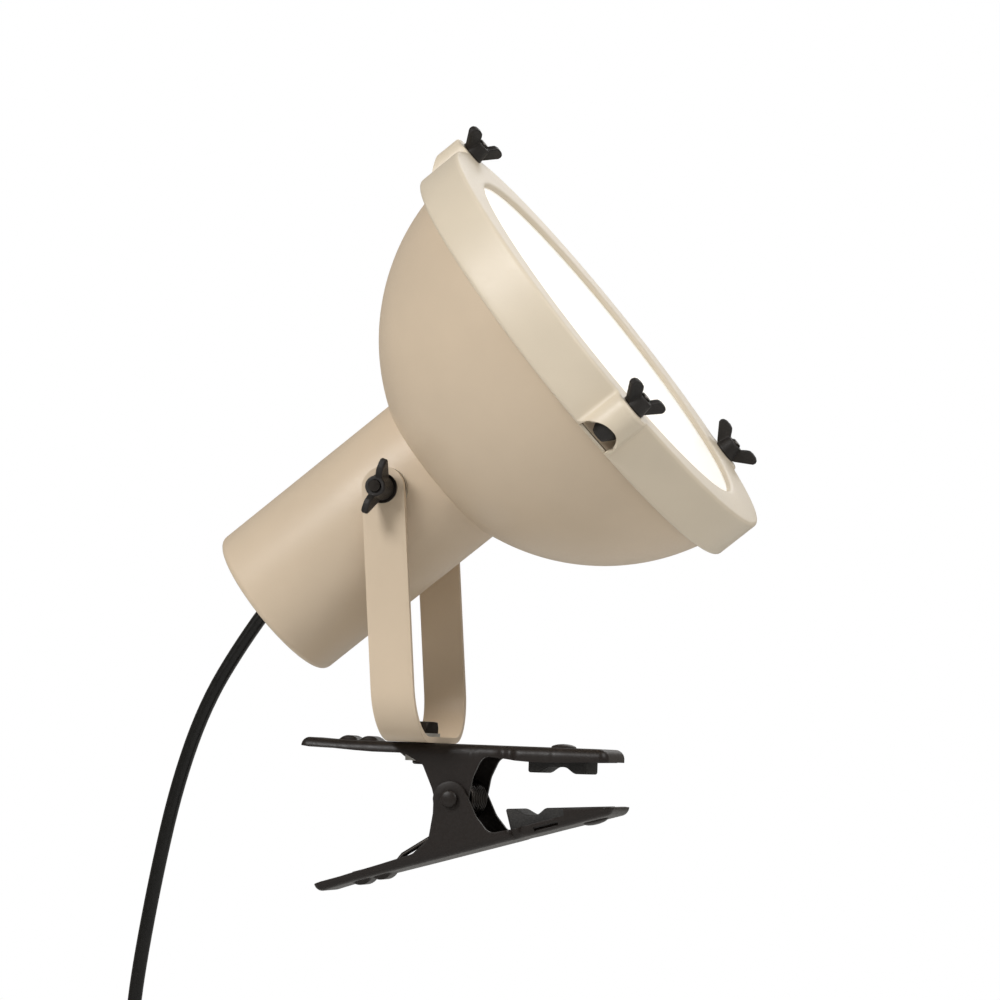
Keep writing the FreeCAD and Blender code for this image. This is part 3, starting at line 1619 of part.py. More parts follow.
def plug():
    body = new_body("plug_body")
    case = new_sketch(body, "XY_Plane", -d.plug_neck)
    rounded_box(case, d.plug_width, d.plug_depth, d.plug_corner)
    feature(body, "Pad", case, d.plug_body, reverse=True)
    neck = new_sketch(body, "XZ_Plane")
    low = -d.plug_neck - d.plug_depth / 2
    outline(
        neck,
        [(0, low), (d.plug_neck_radius, low), (d.plug_neck_radius, -d.plug_neck), (CORD_RADIUS, 0), (0, 0)],
    )
    made = body.newObject("PartDesign::Revolution", "plug_body_neck")
    made.Profile = neck
    made.ReferenceAxis = (neck, ["V_Axis"])
    made.Angle = 360
    put(body, DROP_X, TAIL_Y, PLUG_TOP)
    low = -d.plug_neck - d.plug_body - d.plug_pin_length
    pins = [
        rod(d.plug_pin_radius, d.plug_pin_length, x, 0, low)
        for x in (-d.plug_pin_spacing / 2, d.plug_pin_spacing / 2)
    ]
    put(group("plug_pins", pins), DROP_X, TAIL_Y, PLUG_TOP)


# Everything, then the files

NODES = """
    upper_jaw lower_jaw upper_pad lower_pad upper_pad_rivet lower_pad_rivet jaw_pivot_rivet
    spring_upper_half spring_lower_half yoke yoke_bolt yoke_washer yoke_nut
    neck_housing dome_shell front_ring diffuser_glass glass_gasket stud_brackets ring_studs
    ring_wing_nut_top ring_wing_nut_near ring_wing_nut_far
    pivot_studs pivot_spacers friction_washers pivot_washers
    pivot_wing_nut_near pivot_wing_nut_far
    lampholder_body lampholder_sleeve lampholder_contact lampholder_bracket
    holder_screws bracket_screws bulb_cap bulb_glass
    cord_gland gland_nut inner_cord supply_wires
    lead lead_to_coil lead_coil lead_tail coil_tie
    switch_base switch_cover switch_rocker switch_screws plug_body plug_pins
""".split()


def build():
    upper_jaw()
    lower_jaw()
    upper_pad()
    lower_pad()
    pad_rivets()
    jaw_pivot_rivet()
    springs()
    yoke()
    yoke_bolt()
    neck_housing()
    dome_shell()
    front_ring()
    diffuser()
    stud_brackets()
    ring_studs()
    ring_wing_nuts()
    pivots()
    lampholder()
    lampholder_bracket()
    lampholder_screws()
    bulb()
    cord_entry()
    lead()
    straight_lead("lead_to_coil", 0, SWITCH_TOP - d.switch_length, COIL_MIDDLE + d.cord_diameter)
    lead_coil()
    straight_lead("lead_tail", TAIL_Y.value, COIL_MIDDLE - d.cord_diameter, PLUG_TOP)
    coil_tie()
    switch()
    plug()
    doc.recompute()


def write_parts():
    for made in doc.Objects:
        faults = [state for state in made.State if state in ("Invalid", "Error")]
        if faults:
            raise RuntimeError(f"{made.Label} failed: {faults}")
    os.makedirs("parts", exist_ok=True)
    for name in NODES:
        shape = doc.getObjectsByLabel(name)[0].Shape
        if shape.isNull() or not shape.isValid() or shape.Volume <= 0:
            raise RuntimeError(f"{name} has no valid shape")
    for name in NODES:
        doc.getObjectsByLabel(name)[0].Shape.exportStep(f"parts/{name}.step")


build()
write_parts()
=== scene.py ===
import json
from math import acos, asin, atan2, cos, degrees, hypot, pi, radians, sin, sqrt, tan

import bpy
from mathutils import Matrix, Vector


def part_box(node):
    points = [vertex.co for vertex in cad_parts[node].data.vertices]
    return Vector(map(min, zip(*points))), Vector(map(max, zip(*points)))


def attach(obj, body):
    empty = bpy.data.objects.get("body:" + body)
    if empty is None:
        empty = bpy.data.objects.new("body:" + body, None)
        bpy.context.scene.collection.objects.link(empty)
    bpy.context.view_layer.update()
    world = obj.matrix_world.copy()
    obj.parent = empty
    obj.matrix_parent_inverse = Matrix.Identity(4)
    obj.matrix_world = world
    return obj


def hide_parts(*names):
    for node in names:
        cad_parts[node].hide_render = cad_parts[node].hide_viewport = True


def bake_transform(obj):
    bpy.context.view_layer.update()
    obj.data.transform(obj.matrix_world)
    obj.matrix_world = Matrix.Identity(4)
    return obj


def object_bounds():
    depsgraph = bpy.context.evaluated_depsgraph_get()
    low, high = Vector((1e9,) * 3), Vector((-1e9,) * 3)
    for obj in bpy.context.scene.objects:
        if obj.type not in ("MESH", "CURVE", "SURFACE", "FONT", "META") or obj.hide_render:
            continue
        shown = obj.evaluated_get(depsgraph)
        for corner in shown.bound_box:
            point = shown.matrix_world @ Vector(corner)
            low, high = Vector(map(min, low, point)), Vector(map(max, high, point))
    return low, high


bl_info = {
    "name": "Clamp Spotlight",
    "version": (1, 0, 0),
    "blender": (4, 5, 0),
    "location": "3D View > Sidebar > Spotlight",
    "description": "Makes the pieces of a domed clamp spotlight round its built frame",
    "category": "Add Mesh",
}

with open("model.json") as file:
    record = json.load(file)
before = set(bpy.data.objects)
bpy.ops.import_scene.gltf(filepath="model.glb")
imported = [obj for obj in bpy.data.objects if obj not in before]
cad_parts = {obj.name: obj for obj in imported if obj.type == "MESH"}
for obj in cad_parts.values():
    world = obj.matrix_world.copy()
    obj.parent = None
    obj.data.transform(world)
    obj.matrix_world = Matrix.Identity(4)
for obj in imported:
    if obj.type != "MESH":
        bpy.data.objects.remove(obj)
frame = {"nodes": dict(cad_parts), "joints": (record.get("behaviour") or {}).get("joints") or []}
CAD_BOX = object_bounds()
CAD_PIECES = frame["nodes"]
JOINTS = {joint["name"]: joint for joint in frame["joints"]}

# Places from the frame, in metres
HINGE = Vector(JOINTS["jaw_open"]["pos_m"])
TILT = Vector(JOINTS["head_tilt"]["pos_m"])
BOLT = Vector(JOINTS["yoke_swivel"]["pos_m"])
EXIT = Vector(JOINTS["cord_hang"]["pos_m"])
SWITCH_PIVOT = Vector(JOINTS["switch_press"]["pos_m"])
LAMP_AXIS = Vector(JOINTS["ring_nut_top_spin"]["axis"])
PLUG_LOW, PLUG_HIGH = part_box("plug_body")

# Pieces are drawn in millimetres
MM = 0.001
ON_HEAD = (
    Matrix.Translation(TILT) @ Vector((0, 0, 1)).rotation_difference(LAMP_AXIS).to_matrix().to_4x4()
)
ON_UPPER_JAW = Matrix.Translation(HINGE)
HALF_CLOSED = radians(16.3) / 2
ON_LOWER_JAW = Matrix.Translation(HINGE) @ Matrix.Rotation(
    pi, 4, Vector((cos(HALF_CLOSED), 0, sin(HALF_CLOSED)))
)

# Sizes shared by several pieces
JAW_TOP = 18.9
JAW_WALL = 1.5
CORD_DIAMETER = 5.0
RING_RADIUS = 82.5
RING_FRONT = 89.5
RING_BACK = 72.2
DOME_RADIUS = 78.0
DOME_CENTRE = 87.2
DOME_RIM = 82.2
DOME_SEAT_RADIUS = 29.15
NECK_RADIUS = 29.1
NECK_BACK = -62.8
LUG_CIRCLE = 82.9
LUG_RADIUS = 7.2
LUG_TURNS = (179.0, -60.5, 58.5)
STUD_RADIUS = 2.0
STUD_BACK = 74.6
SEAT_GAP = 0.05
MERGE_GAP = 0.005

# How far forward a lug's back edge lies at its crest
LUG_SLANT = 7.5

# How far the floor lies under the plug, so that the plug clears it with the shade tilted up
FLOOR_DROP = 28.0

# Where the visible cord hangs: back and down from its exit, then the drop's own line
CORD_ROUTE = [
    (0.0, 0.0),
    (7.8, 11.0),
    (20.3, 33.0),
    (29.3, 60.5),
    (35.7, 92.5),
    (41.0, 127.5),
    (42.6, 147.5),
    (42.6, 165.5),
]
SWITCH_LENGTH = 62.0
SWITCH_ENTRY = 30.0
COIL_LEAD_IN = 35.0
COIL_RADIUS = 29.5
COIL_PITCH = 5.45
COIL_TURNS = 8
COIL_LAYERS = 4
COIL_POINTS_A_TURN = 16
COIL_ENTRY = 18.0
TAIL_DROP = 44.0


def length(name, about, default, least=0.0):
    return bpy.props.FloatProperty(
        name=name, description=about, default=default, min=least, unit="LENGTH"
    )


def tint(name, about, default):
    return bpy.props.FloatVectorProperty(
        name=name, description=about, default=default, subtype="COLOR"
    )


class SpotlightSizes(bpy.types.PropertyGroup):
    """Sizes of the finish that a user would change."""

    edge_round: length("Edge round", "Radius of the broken edges on pressed sheet", 0.35 * MM)
    enamel_grain: length("Enamel grain", "Width of the ripple in the enamel", 0.9 * MM, 0.1 * MM)
    casting_grain: length("Casting grain", "Width of the pits in the nuts", 0.5 * MM, 0.1 * MM)
    glow: bpy.props.FloatProperty(
        name="Glow", description="Light given off by the frosted glass", default=0.42, min=0.0
    )


class SpotlightColours(bpy.types.PropertyGroup):
    """Colours of the finishes."""

    enamel: tint("Shade enamel", "Colour of the dome, neck and yoke", (0.62, 0.505, 0.375))
    # The ring's enamel is the shade's enamel made lighter, as painted light on the ring's brighter
    # band.
    ring_enamel: tint("Ring enamel", "Colour of the front ring", (0.67, 0.585, 0.46))
    clamp_enamel: tint("Clamp enamel", "Colour of the jaws and rivets", (0.013, 0.0095, 0.008))
    casting: tint("Wing nuts", "Colour of the browned wing nuts", (0.011, 0.009, 0.008))
    rubber: tint("Rubber", "Colour of the pads", (0.020, 0.019, 0.018))
    glass: tint("Glass", "Colour of the frosted glass", (0.93, 0.91, 0.86))


def sizes():
    return bpy.context.scene.spotlight_sizes


def colours():
    return bpy.context.scene.spotlight_colours


# Ways to model


def alone(piece=None):
    """Select one piece and nothing else."""
    if bpy.context.object and bpy.context.object.mode != "OBJECT":
        bpy.ops.object.mode_set(mode="OBJECT")
    bpy.ops.object.select_all(action="DESELECT")
    if piece:
        piece.select_set(True)
        bpy.context.view_layer.objects.active = piece


def started(name):
    """Name the primitive that was just added and open it for editing."""
    piece = bpy.context.object
    piece.name = name
    piece.data.name = name
    bpy.ops.object.mode_set(mode="EDIT")
    return piece


def closed_up(inside=False):
    """Merge what meets and point every face outwards, then leave edit mode."""
    bpy.ops.mesh.select_all(action="SELECT")
    bpy.ops.mesh.remove_doubles(threshold=MERGE_GAP * MM)
    bpy.ops.mesh.normals_make_consistent(inside=inside)
    bpy.ops.object.mode_set(mode="OBJECT")


def drawn(name, outline):
    """A chain of edges through points of x and z, drawn by extruding one corner."""
    alone()
    bpy.ops.mesh.primitive_plane_add(size=MM)
    piece = started(name)
    bpy.ops.mesh.merge(type="CENTER")
    x, z = outline[0]
    bpy.ops.transform.translate(value=(x * MM, 0, z * MM))
    for (x, z), (u, v) in zip(outline, outline[1:]):
        step = ((u - x) * MM, 0, (v - z) * MM)
        bpy.ops.mesh.extrude_region_move(TRANSFORM_OT_translate={"value": step})
    return piece


def lathed(name, outline, steps=96):
    """A piece spun about Z from points of radius and height."""
    piece = drawn(name, outline)
    bpy.ops.mesh.select_all(action="SELECT")
    bpy.ops.mesh.spin(steps=steps, angle=2 * pi, center=(0, 0, 0), axis=(0, 0, 1))
    closed_up()
    return piece


def prism(name, outline, width):
    """An outline of x and z, pulled out along Y to the width."""
    piece = drawn(name, outline + outline[:1])
    bpy.ops.mesh.select_all(action="SELECT")
    bpy.ops.mesh.remove_doubles(threshold=MERGE_GAP * MM)
    bpy.ops.mesh.edge_face_add()
    bpy.ops.transform.translate(value=(0, -width * MM / 2, 0))
    bpy.ops.mesh.extrude_region_move(TRANSFORM_OT_translate={"value": (0, width * MM, 0)})
    closed_up()
    return piece


def pressed(name, columns, rows, place, drop=None):
    """A sheet pressed from a flat grid. place gives each crossing its point, drop names gaps."""
    alone()
    bpy.ops.mesh.primitive_grid_add(x_subdivisions=columns, y_subdivisions=rows, size=2)
    piece = started(name)
    bpy.ops.mesh.select_all(action="DESELECT")
    bpy.ops.object.mode_set(mode="OBJECT")
    spots = [
        (round((v.co.x + 1) / 2 * columns), round((v.co.y + 1) / 2 * rows))
        for v in piece.data.vertices
    ]
    if drop:
        for face in piece.data.polygons:
            corners = [spots[v] for v in face.vertices]
            face.select = drop(min(c for c, _ in corners), min(r for _, r in corners))
    for vertex, (column, row) in zip(piece.data.vertices, spots):
        vertex.co = Vector(place(column, row)) * MM
    bpy.ops.object.mode_set(mode="EDIT")
    if drop:
        bpy.ops.mesh.delete(type="FACE")
    closed_up()
    return piece


def modified(piece, kind, **settings):
    """Add a modifier with these settings and apply it."""
    alone(piece)
    modifier = piece.modifiers.new(kind.title(), kind)
    for setting, value in settings.items():
        setattr(modifier, setting, value)
    bpy.ops.object.modifier_apply(modifier=modifier.name)


def edges_rounded(piece, radius, segments=3, above=32):
    """Round every edge sharper than the angle. The radius is in millimetres."""
    modified(
        piece,
        "BEVEL",
        width=radius * MM,
        segments=segments,
        limit_method="ANGLE",
        angle_limit=radians(above),
        harden_normals=False,
        miter_outer="MITER_ARC",
    )


def walled(piece, wall):
    """Give a pressed sheet its thickness, away from the side that its faces point to."""
    modified(
        piece,
        "SOLIDIFY",
        thickness=wall * MM,
        offset=-1.0,
        use_even_offset=True,
        use_quality_normals=True,
    )


def merged(*pieces):
    """Join pieces into the first one."""
    alone(pieces[0])
    for piece in pieces[1:]:
        piece.select_set(True)
    bpy.ops.object.join()
    return bpy.context.object


def placed(piece, matrix):
    """Put a piece in its place, and the place into its mesh."""
    alone(piece)
    piece.matrix_world = matrix @ piece.matrix_world
    bpy.ops.object.transform_apply(location=True, rotation=True, scale=True)
    return piece


def combined(piece, operation, *tools):
    """Join, cut or crop a piece by others, which are used up."""
    for tool in tools:
        modified(piece, "BOOLEAN", object=tool, operation=operation, solver="EXACT")
        alone(tool)
        bpy.ops.object.delete()
    return piece


def faced(piece, top):
    """Turn a sheet's faces over where its top looks down, or its bottom looks up."""
    pick, way = (max, 1) if top else (min, -1)
    end = pick(piece.data.polygons, key=lambda face: face.center.z)
    if end.normal.z * way < 0:
        bpy.ops.object.mode_set(mode="EDIT")
        closed_up(inside=True)


def curve_along(name, kind, points):
    """A curve of one open spline, from points in metres."""
    curve = bpy.data.curves.new(name, "CURVE")
    curve.dimensions = "3D"
    spline = curve.splines.new(kind)
    spline.points.add(len(points) - 1)
    for knot, point in zip(spline.points, points):
        knot.co = (*point, 1.0)
    piece = bpy.data.objects.new(name, curve)
    bpy.context.collection.objects.link(piece)
    return piece


def tube(piece, radius, resolution):
    """Make a closed mesh tube of a curve. The radius is in millimetres."""
    piece.data.bevel_depth = radius * MM
    piece.data.bevel_resolution = resolution
    piece.data.use_fill_caps = True
    alone(piece)
    bpy.ops.object.convert(target="MESH")
    bpy.ops.object.mode_set(mode="EDIT")
    closed_up()
    return bpy.context.object


def finished(piece, body, finish, slot, *stands_for, smooth=35):
    """Shade and coat a piece, tie it to its body and let it stand for its solids."""
    alone(piece)
    bpy.ops.object.shade_smooth_by_angle(angle=radians(smooth))
    piece.data.materials.clear()
    piece.data.materials.append(finish)
    if body:
        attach(piece, body)
    if stands_for:
        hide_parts(*stands_for)
    return piece


def coated(finish, *names):
    """Give solids of the frame a finish."""
    for name in names:
        slots = CAD_PIECES[name].data.materials
        slots.clear()
        slots.append(finish)


def between(points, x):
    """Height at x of a line through points."""
    for (a, low), (b, high) in zip(points, points[1:]):
        if a <= x <= b:
            return low + (high - low) * ((x - a) / (b - a) if b > a else 1.0)
    return points[0][1] if x < points[0][0] else points[-1][1]


def eased(share):
    share = min(max(share, 0.0), 1.0)
    return share * share * (3 - 2 * share)


def arc(x, z, radius, start, end, count):
    """Points on an arc, with its angles in degrees."""
    return [
        (
            x + radius * cos(radians(start + (end - start) * n / count)),
            z + radius * sin(radians(start + (end - start) * n / count)),
        )
        for n in range(count + 1)
    ]


# Finishes


def new_finish(name, colour, roughness, metallic=0.0, specular=0.5):
    finish = bpy.data.materials.new(name)
    finish.use_nodes = True
    inputs = shader_of(finish).inputs
    inputs["Base Color"].default_value = (*colour, 1.0)
    inputs["Roughness"].default_value = roughness
    inputs["Metallic"].default_value = metallic
    inputs["Specular IOR Level"].default_value = specular
    return finish


def shader_of(finish):
    return finish.node_tree.nodes["Principled BSDF"]


def linked(owner, kind, inputs=(), **settings):
    """Add a node to a finish or the world, with its settings, and inputs from sockets or values."""
    node = owner.node_tree.nodes.new(kind)
    for setting, value in settings.items():
        setattr(node, setting, value)
    for socket, value in dict(inputs).items():
        if isinstance(value, bpy.types.NodeSocket):
            owner.node_tree.links.new(value, node.inputs[socket])
        else:
            node.inputs[socket].default_value = value
    return node


def driven(finish, socket, source):
    """Let a node's output set one of the shader's inputs."""
    finish.node_tree.links.new(source, shader_of(finish).inputs[socket])


def object_place(finish):
    return linked(finish, "ShaderNodeTexCoord").outputs["Object"]


def noise(finish, width, detail=2.0, roughness=0.5):
    """Soft noise whose features are about the width across."""
    inputs = {
        "Vector": object_place(finish),
        "Scale": 1.0 / width,
        "Detail": detail,
        "Roughness": roughness,
    }
    return linked(finish, "ShaderNodeTexNoise", inputs).outputs["Fac"]


def roughened(finish, source, low, high):
    """Let the roughness follow noise, stretched to run from low to high."""
    inputs = {"Value": source, "From Min": 0.3, "From Max": 0.7, "To Min": low, "To Max": high}
    driven(finish, "Roughness", linked(finish, "ShaderNodeMapRange", inputs).outputs["Result"])


def tinted(finish, source, dark, light):
    """Let the colour wander between two shades of itself."""
    ramp = linked(finish, "ShaderNodeValToRGB", {"Fac": source})
    base = shader_of(finish).inputs["Base Color"].default_value[:3]
    for stop, place, amount in zip(ramp.color_ramp.elements, (0.3, 0.7), (dark, light)):
        stop.position = place
        stop.color = (*[min(channel * amount, 1.0) for channel in base], 1.0)
    driven(finish, "Base Color", ramp.outputs["Color"])


def bumped(finish, source, depth):
    """Raise and lower the surface by the noise, to a depth in millimetres."""
    bump = linked(finish, "ShaderNodeBump", {"Height": source, "Distance": depth * MM})
    driven(finish, "Normal", bump.outputs["Normal"])


def worked(name, colour, roughness, tone, grain=None, rough=None, depth=0.0, **shine):
    """A finish with an uneven tone and a grain.

    tone is the width and detail of its noise, and the shades that it runs between. grain is the
    width, detail and roughness of a finer noise. The surface's roughness, from low to high, and
    its bump follow the grain, or else the tone.
    """
    finish = new_finish(name, colour, roughness, **shine)
    width, detail, dark, light = tone
    source = noise(finish, width, detail)
    tinted(finish, source, dark, light)
    if grain:
        source = noise(finish, *grain)
    if rough:
        roughened(finish, source, *rough)
    if depth:
        bumped(finish, source, depth)
    return finish


FINISHES = {}


def known(name, maker):
    """A finish, made the first time that it is asked for."""
    if name not in FINISHES:
        FINISHES[name] = maker(name)
    return FINISHES[name]


def satin_enamel(name):
    """Stoved satin enamel with a faint ripple and a little unevenness of tone."""
    tints = {"ring_enamel": colours().ring_enamel, "clamp_enamel": colours().clamp_enamel}
    colour = tints.get(name, colours().enamel)
    depth, specular = (0.03, 0.3) if name == "clamp_enamel" else (0.02, 0.4)
    tone = (38 * MM, 3.0, 0.96, 1.03)
    ripple = (sizes().enamel_grain, 2.0)
    return worked(name, colour, 0.42, tone, ripple, (0.36, 0.47), depth, specular=specular)


def moulded_rubber(name):
    tone = (9 * MM, 3.0, 0.8, 1.35)
    grain = (0.8 * MM, 4.0, 0.6)
    return worked(name, colours().rubber, 0.72, tone, grain, (0.62, 0.82), 0.12, specular=0.4)


# This finish also coats the stud brackets, where its darkness is painted shade.
def browned_casting(name):
    tone = (4 * MM, 3.0, 0.75, 1.6)
    pits = (sizes().casting_grain, 5.0, 0.65)
    return worked(name, colours().casting, 0.5, tone, pits, (0.38, 0.62), 0.1, metallic=0.25)


def plated(name):
    colour = (0.56, 0.55, 0.52) if name == "zinc_plate" else (0.045, 0.04, 0.036)
    tone = (3 * MM, 4.0, 0.82, 1.1)
    finish = worked(name, colour, 0.32, tone, rough=(0.26, 0.42), metallic=1.0)
    bumped(finish, noise(finish, 0.4 * MM, 3.0), 0.02)
    return finish


def brass(name):
    tone = (4 * MM, 4.0, 0.85, 1.08)
    return worked(name, (0.74, 0.55, 0.26), 0.28, tone, rough=(0.2, 0.38), metallic=1.0)


def black_moulding(name):
    """Black moulded plastic: glossy on the cord, finer and duller on the cases."""
    roughness, width, rough, depth = 0.38, 0.5 * MM, (0.34, 0.46), 0.04
    if name == "cord_sheath":
        roughness, width, rough, depth = 0.34, 2.4 * MM, (0.24, 0.34), 0.02
    tone = (14 * MM, 2.0, 0.85, 1.2)
    black = (0.004, 0.0038, 0.0034)
    return worked(name, black, roughness, tone, (width, 3.0), rough, depth, specular=0.3)


def white_ceramic(name):
    tone = (12 * MM, 3.0, 0.95, 1.03)
    return worked(name, (0.82, 0.79, 0.73), 0.18, tone, (1.6 * MM, 2.0), depth=0.02)


def fibre(name):
    colour = (0.16, 0.06, 0.03) if name == "wire_sleeving" else (0.045, 0.035, 0.03)
    return worked(name, colour, 0.75, (0.6 * MM, 5.0, 0.8, 1.2), depth=0.05)


def bulb_white(name):
    tone = (10 * MM, 2.0, 0.97, 1.02)
    finish = worked(name, (0.93, 0.91, 0.86), 0.35, tone, (0.6 * MM, 2.0), depth=0.01)
    inputs = shader_of(finish).inputs
    inputs["Emission Color"].default_value = (1.0, 0.93, 0.82, 1.0)
    inputs["Emission Strength"].default_value = 0.6
    return finish


def frosted_glass(name):
    """White frosted glass, lit from behind and brightest round its middle."""
    tone = (25 * MM, 2.0, 0.98, 1.02)
    frost = (0.35 * MM, 3.0)
    finish = worked(name, colours().glass, 0.42, tone, frost, (0.38, 0.5), 0.02)
    turned = LAMP_AXIS.rotation_difference(Vector((0, 0, 1)))
    off = turned.to_matrix() @ TILT
    across_glass = {
        "Vector": object_place(finish),
        "Rotation": turned.to_euler(),
        "Location": (-off.x, -off.y, 0.0),
        "Scale": (1.0, 1.0, 0.0),
    }
    place = linked(finish, "ShaderNodeMapping", across_glass).outputs["Vector"]
    reach = linked(finish, "ShaderNodeVectorMath", {0: place}, operation="LENGTH")
    fade = {
        "Value": reach.outputs["Value"],
        "From Min": 30 * MM,
        "From Max": 72 * MM,
        "To Min": sizes().glow,
        "To Max": sizes().glow * 0.55,
    }
    glow = linked(finish, "ShaderNodeMapRange", fade, interpolation_type="SMOOTHSTEP")
    shader_of(finish).inputs["Emission Color"].default_value = (1.0, 0.985, 0.95, 1.0)
    driven(finish, "Emission Strength", glow.outputs["Result"])
    return finish


# The cord


def cord_points():
    """The cord's own points, in millimetres from where it leaves the shade."""
    points = [Vector((-back, 0, -down)) for back, down in CORD_ROUTE]
    drop = points[-1]
    middle_z = drop.z - SWITCH_LENGTH - COIL_LEAD_IN
    for down in (SWITCH_ENTRY, SWITCH_LENGTH):
        points.append(Vector((drop.x, 0, drop.z - down)))
    points.append(Vector((drop.x, 0, middle_z + COIL_ENTRY)))
    turns_a_layer = COIL_TURNS / COIL_LAYERS
    outside = COIL_RADIUS + COIL_PITCH * turns_a_layer / 2
    step = 2 * pi / COIL_POINTS_A_TURN
    # The spline runs inside a ring of its own points, so that the ring is made wider
    widen = 8 / (6 + 2 * cos(step))
    for n in range(COIL_TURNS * COIL_POINTS_A_TURN + 1):
        turn = n / COIL_POINTS_A_TURN
        passed = turn % (2 * turns_a_layer)
        inward = passed if passed <= turns_a_layer else 2 * turns_a_layer - passed
        radius = (outside - COIL_PITCH * inward) * widen
        side = sum(
            COIL_PITCH * eased(2 * (turn - layer * turns_a_layer) + 0.5)
            for layer in range(1, COIL_LAYERS)
        )
        angle = pi + step * n
        middle = Vector((drop.x + outside, side, middle_z))
        points.append(middle + Vector((radius * cos(angle), 0, radius * sin(angle))))
    tail = points[-1]
    for down in (COIL_ENTRY, TAIL_DROP):
        points.append(Vector((drop.x, tail.y, middle_z - down)))
    return points


class SPOTLIGHT_OT_cord(bpy.types.Operator):
    """Hang the cord from the shade, wind up its spare length and run it to the plug"""

    bl_idname = "spotlight.cord"
    bl_label = "Cord"

    def execute(self, context):
        piece = curve_along("cord", "NURBS", [EXIT + point * MM for point in cord_points()])
        spline = piece.data.splines[0]
        spline.order_u = 3
        spline.use_endpoint_u = True
        piece.data.resolution_u = 6
        context.view_layer.update()
        line = bpy.data.meshes.new_from_object(piece)
        piece = tube(piece, CORD_DIAMETER / 2, 5)
        sheath = known("cord_sheath", black_moulding)
        solids = ("lead", "lead_to_coil", "lead_coil", "lead_tail")
        finished(piece, None, sheath, "cord_sheath", *solids, smooth=60)
        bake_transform(piece)
        return {"FINISHED"}


# The clamp

EAR_DIP = arc(0, 0, 6.0, 180, 360, 12)
EAR_BACK = [(-18.5, 15.1), (-17.2, 14.9), (-12.4, 12.3), (-11.2, 11.7), (-10.5, 11.1), (-7.0, 3.4)]
EAR_FRONT = [(7.2, 7.0), (7.5, 8.1), (9.6, 12.8), (10.2, 13.7), (11.2, 14.5), (12.5, 14.9)]
UPPER_EDGE = [
    *[(-56.2, 16.2), (-44.0, 16.1), (-36.0, 15.4), (-29.0, 15.1)],
    *[*EAR_BACK, *EAR_DIP, *EAR_FRONT],
    *[(17.0, 14.5), (22.0, 13.9), (28.0, 13.6), (36.0, 13.75), (54.8, 14.5)],
]
LOWER_EDGE = [
    *[(-56.2, 16.2), (-46.0, 16.4), (-30.0, 15.6)],
    *[*EAR_BACK, *EAR_DIP, *EAR_FRONT],
    *[(17.0, 15.2), (37.7, 15.2), (38.0, 12.9), (54.8, 16.65)],
]
HUMPS = (-32.8, -40.2)
HUMP_RADIUS = 4.7
HUMP_SUNK = 3.1
HUMP_HALF_WIDTH = 4.9
SLOTS = (26.0, 34.8)
SLOT_RINGS = (10, 12)


def jaw_half_width(x, ear):
    """Half the jaw's width along it, from the tail's end over the ears and waist to the tips."""
    tail = [(-56.2, 10.5), (-20.0, ear - 0.1), (-17.0, ear), (15.8, ear), (16.8, ear - 0.3)]
    waist = [(17.4, ear - 0.7), (18.1, 12.3), (19.2, 11.8), (20.4, 12.0), (21.4, 12.9)]
    nose = [(22.4, 13.5), (23.6, 13.7), (32.6, 13.7), (34.0, 13.9), (35.6, 14.45), (37.0, 14.6)]
    return between([*tail, *waist, *nose, (54.8, 14.6)], x)


def hump_rise(x, y):
    """How far the two pressed humps stand over the plate."""
    off = min(abs(x - middle) for middle in HUMPS)
    arch = max(sqrt(max(HUMP_RADIUS**2 - off**2, 0.0)) - HUMP_SUNK, 0.0)
    return arch * eased((HUMP_HALF_WIDTH - abs(y)) / 0.9)


